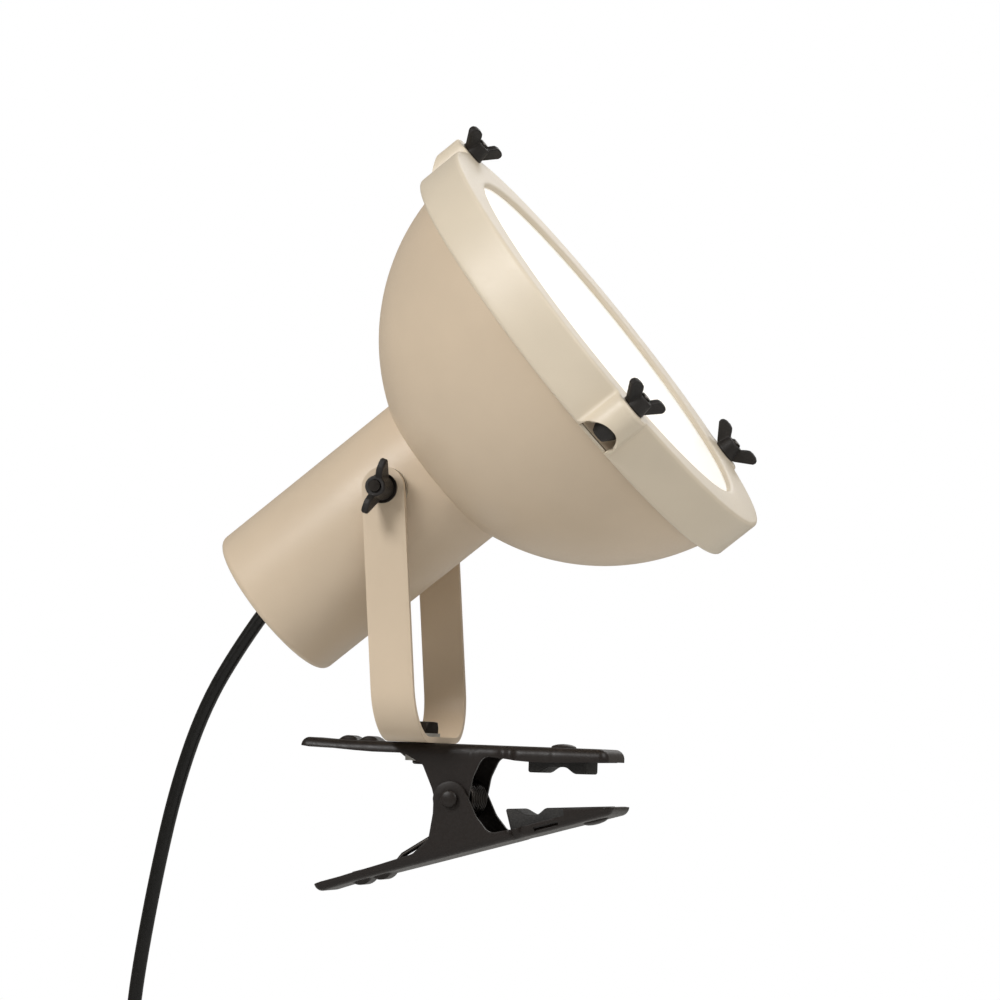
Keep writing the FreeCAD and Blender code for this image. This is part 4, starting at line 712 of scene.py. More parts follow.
def jaw_plate(name, ear, edge, slots):
    """One pressed jaw, its plate up: a tray with flanges all round and an ear on each side."""
    bend = 3.2
    rings = 14
    along = sorted(
        {
            *[-53.0 + 1.5 * n for n in range(6)],
            *[-45 + 0.5 * n for n in range(37)],
            *[round(x, 3) for x, _ in edge if -50 < x < 51],
            *[-24.0, -22.5, -21.0, -9.3, -8.2, 8.5, 14.0, 15.8, 16.8, 17.4, 18.1, 19.2],
            *[20.4, 21.4, 22.4, 23.6, 26.0, 28.0, 30.4, 32.6, 34.0, 34.8, 35.6, 37.0],
            *[40.0, 43.0, 46.0, 49.0, 51.6],
        }
    )
    inner = [-5.6, -4.9, -4.5, -4.0, -2.4, -0.9, 0.0, 0.9, 2.4, 4.0, 4.5, 4.9, 5.6]
    across = [("at", y) for y in inner]
    across = [("edge", -1.0), ("edge", -0.88), *across, ("edge", 0.88), ("edge", 1.0)]
    end_i, end_j = len(along) - 1, len(across) - 1

    def crossing(column, row):
        i = min(max(column - rings, 0), end_i)
        j = min(max(row - rings, 0), end_j)
        out_x = max(rings - column, column - rings - end_i, 0)
        out_y = max(rings - row, row - rings - end_j, 0)
        x = along[i]
        half = jaw_half_width(x, ear) - bend
        kind, amount = across[j]
        y = half * amount if kind == "edge" else amount
        ring = max(out_x, out_y)
        if not ring:
            return x, y, plate_height(x) + hump_rise(x, y)
        heading = pi / 4 * out_y / out_x if out_x >= out_y else pi / 2 - pi / 4 * out_x / out_y
        way_x = 1 if column > rings else -1
        way_y = 1 if row > rings else -1
        depth = plate_height(x) - between(edge, way_x * 100 if out_x else x)
        turned = acos(max(1 - depth / bend, 0.0))
        path = (bend * turned + max(depth - bend, 0.0)) * (ring / rings) ** 1.8
        turn = min(path / bend, turned)
        x += way_x * bend * sin(turn) * cos(heading)
        y += way_y * bend * sin(turn) * sin(heading)
        return x, y, plate_height(x) - bend * (1 - cos(turn)) - max(path - bend * turned, 0.0)

    def in_slot(column, row):
        i = column - rings
        ring = max(rings - row, row + 1 - rings - end_j)
        beside = 0 <= i < end_i and SLOTS[0] <= along[i] < SLOTS[1] - 0.1
        return beside and SLOT_RINGS[0] <= ring <= SLOT_RINGS[1]

    columns, rows = end_i + 2 * rings, end_j + 2 * rings
    piece = pressed(name, columns, rows, crossing, in_slot if slots else None)
    faced(piece, True)
    walled(piece, JAW_WALL)
    edges_rounded(piece, sizes().edge_round / MM, 2, 50)
    return piece


def plate_height(x):
    """The plate's top over the hinge. The tail is bent out a little towards its end."""
    return JAW_TOP + 0.7 * (max(-36.0 - x, 0.0) / 20) ** 2


class SPOTLIGHT_OT_jaws(bpy.types.Operator):
    """Press the two jaws of the clamp"""

    bl_idname = "spotlight.jaws"
    bl_label = "Jaws"

    def execute(self, context):
        enamel = known("clamp_enamel", satin_enamel)
        for name, ear, edge, slots, place, body, node in (
            ("clamp_upper_jaw", 12.9, UPPER_EDGE, False, ON_UPPER_JAW, "clamp", "upper_jaw"),
            ("clamp_lower_jaw", 14.7, LOWER_EDGE, True, ON_LOWER_JAW, "lower_jaw", "lower_jaw"),
        ):
            piece = placed(jaw_plate(name, ear, edge, slots), place)
            finished(piece, body, enamel, "clamp_paint", node)
        return {"FINISHED"}


def wedge_point(x, deeper=0.0):
    """A corner on the sloping face of the lower pad, or that much deeper."""
    return x, 7.7 + tan(radians(12.7)) * (x - 16.8) + deeper


class SPOTLIGHT_OT_pads(bpy.types.Operator):
    """Mould the two rubber pads with their grooves"""

    bl_idname = "spotlight.pads"
    bl_label = "Rubber pads"

    def execute(self, context):
        rubber = known("moulded_rubber", moulded_rubber)
        under = JAW_TOP - JAW_WALL
        flat = [(25.8, under), (25.8, 10.1), (29.95, 10.1), (32.9, 12.3), (39.1, 12.3)]
        flat += [(42.05, 10.1), (46.2, 10.1), (46.2, under)]
        wedge = [(16.8, under), (16.8, 7.7), wedge_point(20.2), wedge_point(23.55, 2.4)]
        wedge += [wedge_point(27.25, 2.4), wedge_point(30.6), wedge_point(51.0), (51.0, under)]
        for name, outline, place, body, node in (
            ("pad_of_upper_jaw", flat, ON_UPPER_JAW, "clamp", "upper_pad"),
            ("pad_of_lower_jaw", wedge, ON_LOWER_JAW, "lower_jaw", "lower_pad"),
        ):
            piece = prism(name, outline, 18.0)
            edges_rounded(piece, 0.8, 4, 20)
            placed(piece, place)
            finished(piece, body, rubber, "pad_rubber", node, smooth=50)
        return {"FINISHED"}


class SPOTLIGHT_OT_rivets(bpy.types.Operator):
    """Set the pads' rivets and the hinge rivet"""

    bl_idname = "spotlight.rivets"
    bl_label = "Rivets"

    def execute(self, context):
        enamel = known("clamp_enamel", satin_enamel)
        dome = [(4.4 * cos(radians(a)), 1.3 * sin(radians(a))) for a in range(0, 91, 10)]
        for name, x, well, place, body, node in (
            ("rivet_of_upper_pad", 36.0, 13.5, ON_UPPER_JAW, "clamp", "upper_pad_rivet"),
            ("rivet_of_lower_pad", 44.7, 16.19, ON_LOWER_JAW, "lower_jaw", "lower_pad_rivet"),
        ):
            head = [(r, JAW_TOP + max(h, 0.0)) for r, h in dome[::-1]]
            shank = [(2.0, JAW_TOP), (2.0, well), (3.4, well), (3.4, well - 1.2), (0, well - 1.2)]
            piece = lathed(name, [*head, *shank], 48)
            edges_rounded(piece, 0.2, 2, 50)
            placed(piece, place @ Matrix.Translation((x * MM, 0, 0)))
            finished(piece, body, enamel, "dark_rivet", node)
        side = 16.25
        end = [(2.9 * cos(radians(a)), side + 0.9 * sin(radians(a))) for a in range(90, -1, -15)]
        outline = [*end, (2.0, side), (2.0, -side), *[(r, -z) for r, z in end[::-1]]]
        piece = lathed("hinge_rivet", outline, 40)
        placed(piece, ON_UPPER_JAW @ Matrix.Rotation(pi / 2, 4, "X"))
        finished(piece, "clamp", enamel, "dark_rivet", "jaw_pivot_rivet")
        return {"FINISHED"}


def spring_line():
    """The middle of half the spring's wire: turns about the hinge, then the leg under the tail."""
    mean, pitch, first = 6.3, 2.3, 1.05
    seat, touch, reach, turns = 16.45, 26.0, 41.5, 3.25
    slope = atan2(seat, touch) - asin(mean / hypot(seat, touch))
    last = pi / 2 - slope
    count = 24
    points = []
    total = round(turns * count)
    for n in range(total + 1):
        angle = last - (total - n) * 2 * pi / count
        points.append((mean * cos(angle), first + pitch * n / count, mean * sin(angle)))
    y = points[-1][1]
    points += [(-touch * 0.45, y, seat - tan(slope) * touch * 0.55), (-touch + 3.6, y, seat - 2.2)]
    points += [(-touch + 1.4, y, seat - 0.6), (-touch - 1.0, y, seat), (-touch - 4.0, y, seat)]
    points += [(-reach + 4, y, seat), (-reach, y, seat)]
    return points


class SPOTLIGHT_OT_spring(bpy.types.Operator):
    """Wind the clamp's spring, half of it on each jaw"""

    bl_idname = "spotlight.spring"
    bl_label = "Spring"

    def execute(self, context):
        for name, place, body, node in (
            ("spring_on_upper_jaw", ON_UPPER_JAW, "clamp", "spring_upper_half"),
            ("spring_on_lower_jaw", ON_LOWER_JAW, "lower_jaw", "spring_lower_half"),
        ):
            line = [Vector(point) * MM for point in spring_line()]
            piece = placed(tube(curve_along(name, "POLY", line), 0.9, 4), place)
            steel = known("oiled_steel", plated)
            finished(piece, body, steel, "spring_steel", node, smooth=60)
        return {"FINISHED"}


# The yoke


class SPOTLIGHT_OT_yoke(bpy.types.Operator):
    """Bend the yoke from one strap of sheet, with round ends at the pivots"""

    bl_idname = "spotlight.yoke"
    bl_label = "Yoke"

    def execute(self, context):
        half, wide, corner, height = 7.5, 34.0, 18.0, 85.9
        lean = radians(5.1)
        up = [(-wide, height + half * cos(radians(a))) for a in range(0, 91, 6)]
        down = [(-wide, height - (height - corner) * n / 16) for n in range(1, 17)]
        bend = [(y, z) for y, z in arc(corner - wide, corner, corner, 180, 270, 14)[1:]]
        bottom = [((corner - wide) * (1 - n / 4), 0.0) for n in range(1, 5)]
        near = up + down + bend + bottom
        line = near + [(-y, z) for y, z in near[-2::-1]]
        rows = 8

        def crossing(column, row):
            y, z = line[column]
            over = max(z - height, 0.0)
            reach = sqrt(max(half * half - over * over, 0.0))
            off = reach * (2 * row / rows - 1)
            share = 1.0 if z > corner else z / corner
            slope = lean * eased(share)
            along = off * cos(slope)
            return -tan(lean) * z + along, y, z + off * sin(slope)

        piece = pressed("yoke_strap", len(line) - 1, rows, crossing)
        faced(piece, False)
        walled(piece, 2.0)
        edges_rounded(piece, 0.45, 3, 50)
        placed(piece, Matrix.Translation(BOLT + Vector((0, 0, SEAT_GAP * MM))))
        finished(piece, "yoke", known("shade_enamel", satin_enamel), "lamp_paint", "yoke")
        return {"FINISHED"}


def hexagon(across):
    corner = across / sqrt(3)
    return [(corner * cos(radians(a)), corner * sin(radians(a))) for a in range(0, 360, 60)]


class SPOTLIGHT_OT_yoke_bolt(bpy.types.Operator):
    """Finish the bolt, washer and nut that hold the yoke on the clamp"""

    bl_idname = "spotlight.yoke_bolt"
    bl_label = "Yoke bolt"

    def execute(self, context):
        steel = known("oiled_steel", plated)
        head = prism("bolt_head", hexagon(10.0), 4.0)
        placed(head, Matrix.Translation((0, 0, 5.3 * MM)) @ Matrix.Rotation(pi / 2, 4, "X"))
        crown = lathed("bolt_crown", [(0, 3.3), (6.2, 3.3), (5.4, 7.0), (4.6, 7.35), (0, 7.35)], 48)
        combined(head, "INTERSECT", crown)
        shank = [(0, 3.4), (3.0, 3.4), (3.0, -7.0), (2.5, -7.5), (0, -7.5)]
        piece = merged(head, lathed("bolt_shank", shank, 40))
        piece.name = "yoke_bolt_head"
        edges_rounded(piece, 0.25, 2, 35)
        placed(piece, Matrix.Translation(BOLT))
        finished(piece, "clamp", steel, "plated_steel", "yoke_bolt")
        coated(known("zinc_plate", plated), "yoke_washer", "yoke_nut")
        return {"FINISHED"}


# The shade


class SPOTLIGHT_OT_neck(bpy.types.Operator):
    """Form the neck, a plain tube closed at the back"""

    bl_idname = "spotlight.neck"
    bl_label = "Neck"

    def execute(self, context):
        front = DOME_CENTRE - sqrt(DOME_RADIUS**2 - DOME_SEAT_RADIUS**2) + 2.2
        wall, corner, hole, middle = 1.5, 2.5, 4.9, -20
        outside = arc(NECK_RADIUS - corner, NECK_BACK + corner, corner, -90, 0, 6)
        inside = arc(NECK_RADIUS - corner, NECK_BACK + corner, corner - wall, 0, -90, 4)
        outline = [(hole, NECK_BACK), *outside, (NECK_RADIUS, middle), (NECK_RADIUS, front)]
        outline += [(NECK_RADIUS - wall, front), (NECK_RADIUS - wall, middle), *inside]
        outline += [(hole, NECK_BACK + wall), (hole, NECK_BACK)]
        piece = lathed("neck_tube", outline, 128)
        edges_rounded(piece, 0.3, 2, 50)
        placed(piece, ON_HEAD)
        finished(piece, "head", known("shade_enamel", satin_enamel), "lamp_paint", "neck_housing")
        return {"FINISHED"}


class SPOTLIGHT_OT_dome(bpy.types.Operator):
    """Spin the dome of the shade"""

    bl_idname = "spotlight.dome"
    bl_label = "Dome"

    def execute(self, context):
        def bowl(radius, flip):
            low = asin(DOME_SEAT_RADIUS / radius)
            high = pi / 2 - asin((DOME_CENTRE - DOME_RIM) / radius)
            turns = [low + (high - low) * n / 44 for n in range(45)]
            points = [(radius * sin(t), DOME_CENTRE - radius * cos(t)) for t in turns]
            return points[::-1] if flip else points

        outline = bowl(DOME_RADIUS, False) + bowl(DOME_RADIUS - 1.2, True)
        piece = placed(lathed("dome_bowl", outline + outline[:1], 160), ON_HEAD)
        enamel = known("shade_enamel", satin_enamel)
        finished(piece, "head", enamel, "lamp_paint", "dome_shell", smooth=50)
        return {"FINISHED"}


def lug_profile():
    """Half a lug seen along the lamp's axis: angles and radii from its crest to the band."""
    fillet = 2.0
    far, near = RING_RADIUS + fillet, LUG_RADIUS + fillet
    aside = acos((LUG_CIRCLE**2 + far**2 - near**2) / (2 * LUG_CIRCLE * far))
    x, y = far * cos(aside), far * sin(aside)
    meet = atan2(y, x - LUG_CIRCLE)
    points = []
    for n in range(15):
        turn = meet * n / 14
        points.append((LUG_CIRCLE + LUG_RADIUS * cos(turn), LUG_RADIUS * sin(turn)))
    for n in range(1, 7):
        turn = meet + pi + (aside - meet) * n / 6
        points.append((x + fillet * cos(turn), y + fillet * sin(turn)))
    return [(degrees(atan2(v, u)), hypot(u, v)) for u, v in points]


def ring_columns():
    """Angles round the ring, how far it stands out at each, and whether its back is open there."""
    half = lug_profile()
    columns = []
    for lug in LUG_TURNS:
        for off, radius in half:
            for way in (1, -1) if off else (1,):
                stand = max(radius - RING_RADIUS, 0.0)
                open_back = radius * sin(radians(off)) < LUG_RADIUS - 0.35 and stand > 1.0
                columns.append(((lug + way * off) % 360, stand, open_back))
    reach = half[-1][0] + 0.6
    for n in range(360):
        if min(abs((n - lug + 180) % 360 - 180) for lug in LUG_TURNS) > reach:
            columns.append((float(n), 0.0, False))
    return sorted(columns)


# The row of the ring's grid that is left out behind a lug
MOUTH_ROW = 3


class SPOTLIGHT_OT_ring(bpy.types.Operator):
    """Form the front ring, its band drawn out round three lugs"""

    bl_idname = "spotlight.ring"
    bl_label = "Front ring"

    def execute(self, context):
        edge = 1.3
        lip = DOME_RADIUS + 0.35
        crest = LUG_CIRCLE + LUG_RADIUS - RING_RADIUS

        def section(stand):
            outer = RING_RADIUS + stand
            slant = LUG_SLANT * stand / crest
            low, high = RING_BACK + edge + slant, RING_FRONT - edge
            back = [(lip, RING_BACK), (lip + (RING_RADIUS - edge - lip) * 0.6, RING_BACK)]
            back.append((RING_RADIUS - edge, RING_BACK))
            for n, rise in ((1, 0.0), (2, 0.5), (3, 0.8), (4, 1.0)):
                turn = pi / 8 * n
                radius = RING_RADIUS - edge + edge * sin(turn)
                z = RING_BACK + edge - edge * cos(turn)
                if stand > 0.3 and n > 1:
                    radius, z = outer, low - edge * (1 - rise)
                back.append((radius, z))
            band = [(outer, low + (high - low) * n / 8) for n in range(9)]
            front = arc(outer - edge, high, edge, 0, 90, 5)
            face = [(radius, RING_FRONT) for radius in (79.2, 76.0, 72.4, 69.4)]
            lip_inside = ((68.4, 0.1), (67.6, 0.4), (67.25, 0.9), (67.2, 1.9))
            face += [(radius, RING_FRONT - drop) for radius, drop in lip_inside]
            return back + band[1:-1] + front + face

        columns = ring_columns()
        sections = [section(stand) for _, stand, _ in columns]
        count = len(columns)

        def crossing(column, row):
            turn = radians(columns[column % count][0])
            radius, z = sections[column % count][row]
            return radius * cos(turn), radius * sin(turn), z

        def in_mouth(column, row):
            sides = (columns[column % count], columns[(column + 1) % count])
            return row == MOUTH_ROW and all(open_back for _, _, open_back in sides)

        piece = pressed("ring_band", count, len(sections[0]) - 1, crossing, in_mouth)
        faced(piece, True)
        walled(piece, 1.0)
        placed(piece, ON_HEAD)
        # The ring takes a lighter copy of the shade's enamel, as painted light.
        enamel = known("ring_enamel", satin_enamel)
        finished(piece, "head", enamel, "ring_paint", "front_ring", smooth=40)
        return {"FINISHED"}


class SPOTLIGHT_OT_glass(bpy.types.Operator):
    """Finish the frosted glass and its gasket"""

    bl_idname = "spotlight.glass"
    bl_label = "Glass"

    def execute(self, context):
        outline = [(0, 83.5), (76.4, 83.5), (77.0, 84.1), (77.0, 86.9), (76.4, 87.5)]
        piece = lathed("glass_disc", [*outline, (40, 87.5), (0, 87.5)], 128)
        edges_rounded(piece, 0.2, 2, 30)
        placed(piece, ON_HEAD)
        frosted = known("frosted_glass", frosted_glass)
        finished(piece, "head", frosted, "frosted_glass", "diffuser_glass")
        coated(known("moulded_rubber", moulded_rubber), "glass_gasket")
        return {"FINISHED"}


# Wing nuts and studs

NUT_BORE = 2.06


def wing_outline(reach, height, hub_height, way):
    """One wing's outline: a straight flank from the seat, a crowned end, and back to the hub."""
    points = [
        (2.5, 0.4),
        (4.7, 0.4),
        (reach - 0.2, height - 2.6),
        (reach, height - 1.6),
        (reach - 0.45, height - 0.7),
        (reach - 1.6, height - 0.15),
        (reach - 3.4, height),
        (reach - 4.9, height - 0.3),
        (reach - 5.8, height - 1.1),
        (2.5, hub_height - 0.5),
    ]
    return [(x * way, z) for x, z in points][::way]


def wing_nut_casting(name, reach, height, hub_height, turn):
    """A cast wing nut on its seat, its hub and wings run together with soft corners."""
    middle = [(3.95, hub_height * 0.45), (3.55, hub_height - 0.3), (3.2, hub_height)]
    outline = [(NUT_BORE, 0), (4.3, 0), (4.35, 0.5), *middle, (NUT_BORE, hub_height), (NUT_BORE, 0)]
    hub = lathed(f"{name}_hub", outline, 40)
    wings = [
        prism(f"{name}_wing", wing_outline(reach, height, hub_height, way), 2.4) for way in (1, -1)
    ]
    for wing in wings:
        edges_rounded(wing, 0.45, 2, 40)
        combined(hub, "UNION", wing)
    hub.name = name
    modified(hub, "REMESH", mode="VOXEL", voxel_size=0.2 * MM, adaptivity=0.0)
    modified(hub, "SMOOTH", factor=0.5, iterations=4)
    return placed(hub, Matrix.Rotation(radians(turn), 4, "Z"))


def nut_place(joint):
    """Where a wing nut stands on its seat."""
    axis = Vector(JOINTS[joint]["axis"])
    return Matrix.Translation(Vector(JOINTS[joint]["pos_m"]) + axis * SEAT_GAP * MM)


class SPOTLIGHT_OT_wing_nuts(bpy.types.Operator):
    """Cast the wing nuts of the ring and of the tilt pivots"""

    bl_idname = "spotlight.wing_nuts"
    bl_label = "Wing nuts"

    def execute(self, context):
        iron_and_painted_shade = known("browned_casting", browned_casting)
        head_turn = ON_HEAD.to_3x3().to_4x4()
        nuts = [
            (f"ring_nut_{side}", f"ring_wing_nut_{side}", (10.2, 8.0, 5.2, turn), head_turn)
            for side, turn in (("top", 65.0), ("near", 59.0), ("far", 5.0))
        ]
        for side, way in (("near", 1), ("far", -1)):
            out = Matrix.Rotation(pi / 2 * way, 4, "X")
            form = (9.9, 10.4, 8.4, 70.7 * way)
            nuts.append((f"pivot_nut_{side}", f"pivot_wing_nut_{side}", form, out))
        for name, node, form, out in nuts:
            piece = placed(wing_nut_casting(name, *form), nut_place(f"{name}_spin") @ out)
            finished(piece, name, iron_and_painted_shade, "wing_nut_iron", node, smooth=80)
        return {"FINISHED"}


def threaded_rod(name, low, high, bare):
    """A stud with a chamfered end and a cut thread above its bare part."""
    pitch, chamfer = 0.7, 0.4
    outline = [(0, low), (STUD_RADIUS, low), (STUD_RADIUS, bare)]
    for n in range(int((high - chamfer - bare) / pitch)):
        z = bare + pitch * n
        outline += [(STUD_RADIUS, z + 0.05), (1.62, z + 0.35), (STUD_RADIUS, z + 0.65)]
    outline += [(STUD_RADIUS, high - chamfer), (STUD_RADIUS - chamfer, high), (0, high)]
    return lathed(name, outline, 32)


class SPOTLIGHT_OT_studs(bpy.types.Operator):
    """Cut the studs, finish the spacers and washers of the head, and coat the brackets dark as
    painted shade
    """

    bl_idname = "spotlight.studs"
    bl_label = "Studs and washers"

    def execute(self, context):
        steel = known("oiled_steel", plated)
        boss_line = [(0, STUD_BACK), (2.4, STUD_BACK), (4.6, 78.4), (4.6, 81.0), (0, 81.0)]
        web_line = [(77.7, 76.6), (81.0, 76.6), (81.0, 80.8), (77.9, 80.8)]
        to_lug = Matrix.Translation((LUG_CIRCLE * MM, 0, 0))
        rods, brackets = [], []
        for turn in LUG_TURNS:
            rod = threaded_rod(f"ring_stud_{turn:.0f}", STUD_BACK, RING_FRONT + 6.0, 80.0)
            place = (LUG_CIRCLE * cos(radians(turn)), LUG_CIRCLE * sin(radians(turn)), 0)
            rods.append(placed(rod, ON_HEAD @ Matrix.Translation(Vector(place) * MM)))
        studs = merged(*rods)
        studs.name = "ring_stud_set"
        finished(studs, "head", steel, "plated_steel", "ring_studs")
        coated(steel, "pivot_studs", "pivot_washers")
        coated(known("zinc_plate", plated), "pivot_spacers")
        for turn in LUG_TURNS:
            boss = placed(lathed(f"bracket_boss_{turn:.0f}", boss_line, 48), to_lug)
            bracket = merged(boss, prism(f"bracket_web_{turn:.0f}", web_line, 5.0))
            brackets.append(placed(bracket, ON_HEAD @ Matrix.Rotation(radians(turn), 4, "Z")))
        bracket_set = merged(*brackets)
        bracket_set.name = "stud_bracket_set"
        edges_rounded(bracket_set, 0.3, 2, 35)
        # The brackets take the dark casting finish as painted shade. It darkens the hollow behind
        # each lug's open back, where the real bosses wear the shade's enamel.
        iron_and_painted_shade = known("browned_casting", browned_casting)
        finished(bracket_set, "head", iron_and_painted_shade, "lamp_paint", "stud_brackets")
        coated(known("pressed_fibre", fibre), "friction_washers")
        return {"FINISHED"}


class SPOTLIGHT_OT_lampholder(bpy.types.Operator):
    """Finish the lampholder, the bulb and the cord's entry"""

    bl_idname = "spotlight.lampholder"
    bl_label = "Lampholder and bulb"

    def execute(self, context):
        coated(known("white_ceramic", white_ceramic), "lampholder_body")
        coated(known("brass", brass), "lampholder_sleeve", "lampholder_contact")
        steel = known("zinc_plate", plated)
        coated(steel, "lampholder_bracket", "holder_screws", "bracket_screws", "bulb_cap")
        coated(known("bulb_white", bulb_white), "bulb_glass")
        coated(known("case_plastic", black_moulding), "cord_gland", "gland_nut")
        coated(known("cord_sheath", black_moulding), "inner_cord")
        coated(known("wire_sleeving", fibre), "supply_wires")
        return {"FINISHED"}


# What is on the cord


def round_rectangle(width, height, radius):
    """A rectangle with round corners, about its own middle."""
    x, z = width / 2 - radius, height / 2 - radius
    points = []
    for n, (u, v) in enumerate(((x, z), (-x, z), (-x, -z), (x, -z))):
        points += arc(u, v, radius, 90 * n, 90 * n + 90, 8)
    return points


def cut_by(piece, *tools):
    return combined(piece, "DIFFERENCE", *tools)


def half_case(name, way):
    """Half of the switch's case, deep along Y, its outer edges rounded more than its seam's."""
    piece = prism(name, round_rectangle(27.0, 62.0, 8.0), 9.0)
    placed(piece, Matrix.Translation((0, 4.5 * way * MM, 0)))
    for radius, y in ((2.6, 9.0), (0.35, 0.0)):
        alone(piece)
        for edge in piece.data.edges:
            ends = [piece.data.vertices[v].co.y / MM for v in edge.vertices]
            edge.select = all(abs(end - y * way) < 0.01 for end in ends)
        for face in piece.data.polygons:
            face.select = False
        bpy.ops.object.mode_set(mode="EDIT")
        bpy.ops.mesh.select_mode(type="EDGE")
        bpy.ops.mesh.bevel(offset=radius * MM, segments=4, affect="EDGES")
        bpy.ops.mesh.select_mode(type="VERT")
        bpy.ops.object.mode_set(mode="OBJECT")
    return piece


class SPOTLIGHT_OT_switch(bpy.types.Operator):
    """Mould the switch on the cord"""

    bl_idname = "spotlight.switch"
    bl_label = "Switch"

    def execute(self, context):
        plastic = known("case_plastic", black_moulding)
        middle = Vector((SWITCH_PIVOT.x, 0, SWITCH_PIVOT.z))
        cover = half_case("switch_cover_half", -1)
        window = prism("window", round_rectangle(11.6, 19.6, 0.8), 7.5)
        placed(window, Matrix.Translation((0, -5.25 * MM, 0)))
        cut_by(cover, window)
        frame_line = prism("frame_line", round_rectangle(16.0, 24.0, 2.0), 1.0)
        cut_by(frame_line, prism("frame_inside", round_rectangle(15.0, 23.0, 1.5), 2.0))
        placed(frame_line, Matrix.Translation((0, -9.0 * MM, 0)))
        cut_by(cover, frame_line)
        base = half_case("switch_base_half", 1)
        screws = []
        for z in (-22.0, 22.0):
            outline = [(0, 0), (1.4, 0), (1.4, 3.0), (2.9, 3.0), (2.9, 3.7), (2.3, 4.4), (0, 4.6)]
            screw = lathed(f"switch_screw_{z:.0f}", outline, 32)
            cut_by(screw, prism(f"screw_slot_{z:.0f}", [(-4, 4.0), (4, 4.0), (4, 5), (-4, 5)], 0.8))
            turn = Matrix.Rotation(radians(z + 40), 4, "Z")
            place = Matrix.Translation((0, 6.0 * MM, z * MM)) @ Matrix.Rotation(-pi / 2, 4, "X")
            screws.append(placed(screw, place @ turn))
        screw_set = merged(*screws)
        screw_set.name = "switch_screw_set"
        for piece, finish, slot, node in (
            (cover, plastic, "black_plastic", "switch_cover"),
            (base, plastic, "black_plastic", "switch_base"),
            (screw_set, known("zinc_plate", plated), "plated_steel", "switch_screws"),
        ):
            placed(piece, Matrix.Translation(middle))
            finished(piece, "cord", finish, slot, node)
        top = [(-3.9, 8.6), (-3.45, 4.3), (-3.3, 0.0), (-3.45, -4.3), (-3.9, -8.6)]
        foot = [(1.0, -9.4), (1.0, 9.4)]
        rocker = prism("switch_rocker_cap", [*top, *foot], 11.0)
        edges_rounded(rocker, 0.5, 3, 30)
        bars = []
        for z in (-7.6, -6.6, -5.6):
            bar = prism(f"rocker_rib_{z}", round_rectangle(1.0, 0.5, 0.2), 7.0)
            bars.append(placed(bar, Matrix.Translation((-3.72 * MM, 0, z * MM))))
        rocker = merged(rocker, *bars)
        placed(rocker, Matrix.Rotation(pi / 2, 4, "Z"))
        placed(rocker, Matrix.Translation(SWITCH_PIVOT) @ Matrix.Rotation(radians(-4.5), 4, "X"))
        finished(rocker, "switch_rocker", plastic, "rocker_plastic", "switch_rocker")
        return {"FINISHED"}


class SPOTLIGHT_OT_plug(bpy.types.Operator):
    """Mould the plug and tie the coil"""

    bl_idname = "spotlight.plug"
    bl_label = "Plug and tie"

    def execute(self, context):
        plastic = known("case_plastic", black_moulding)
        top = (Vector(PLUG_LOW) + Vector(PLUG_HIGH)) / 2
        top.z = PLUG_HIGH[2]
        case = prism("plug_moulding", round_rectangle(35.0, 14.0, 6.9), 26.0)
        placed(case, Matrix.Rotation(pi / 2, 4, "X"))
        edges_rounded(case, 1.8, 4, 60)
        placed(case, Matrix.Translation((0, 0, -23.0 * MM)))
        neck = [(2.6, 0), (3.0, -0.2)]
        for n in range(4):
            z = -1.2 - 2.1 * n
            radius = 3.1 + 0.3 * n
            neck += [(radius - 0.35, z), (radius + 0.25, z - 0.5), (radius + 0.35, z - 1.4)]
        neck += [(4.6, -9.8), (4.6, -15.0), (2.6, -15.0), (2.6, 0)]
        sleeve = lathed("plug_neck", neck, 48)
        edges_rounded(sleeve, 0.15, 2, 40)
        case = merged(case, sleeve)
        pins = []
        for x in (-9.3, 9.3):
            tip = [(2.0 * cos(radians(a)), -53.2 - 1.8 * sin(radians(a))) for a in range(0, 91, 15)]
            pin = lathed(f"plug_pin_{x:.0f}", [(0, -34.0), (2.0, -34.0), *tip], 32)
            pins.append(placed(pin, Matrix.Translation((x * MM, 0, 0))))
        pin_set = merged(*pins)
        pin_set.name = "plug_pin_set"
        for piece, finish, slot, node in (
            (case, plastic, "black_plastic", "plug_body"),
            (pin_set, known("brass", brass), "holder_brass", "plug_pins"),
        ):
            placed(piece, Matrix.Translation(top))
            finished(piece, "cord", finish, slot, node)
        low, high = (Vector(corner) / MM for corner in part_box("coil_tie"))
        size, middle = high - low, (low + high) / 2
        band = prism("coil_band", round_rectangle(size.y, size.z, 3.9), size.x)
        room = round_rectangle(size.y - 2.0, size.z - 2.0, 2.9)
        cut_by(band, prism("coil_band_inside", room, size.x + 2))
        edges_rounded(band, 0.3, 2, 60)
        placed(band, Matrix.Translation(middle * MM) @ Matrix.Rotation(pi / 2, 4, "Z"))
        finished(band, "cord", plastic, "tie_plastic", "coil_tie")
        return {"FINISHED"}


# The stage

SENSOR_WIDTH = 36.0
FOCAL_WIDTHS = 3.718


def camera_matrix():
    """Where the photograph was taken from: round the lamp, a little below it and rolled."""
    around, rise, roll = radians(15.0), radians(-3.9), radians(2.2)
    right = Vector((cos(around), sin(around), 0))
    back = Vector((sin(around) * cos(rise), -cos(around) * cos(rise), sin(rise)))
    up = back.cross(right)
    level_right = right * cos(roll) + up * sin(roll)
    level_up = up * cos(roll) - right * sin(roll)
    matrix = Matrix((level_right, level_up, back)).transposed()
    place = TILT + matrix @ (Vector((31.3, -1.5, 1300.0)) * MM)
    return Matrix.Translation(place) @ matrix.to_4x4()


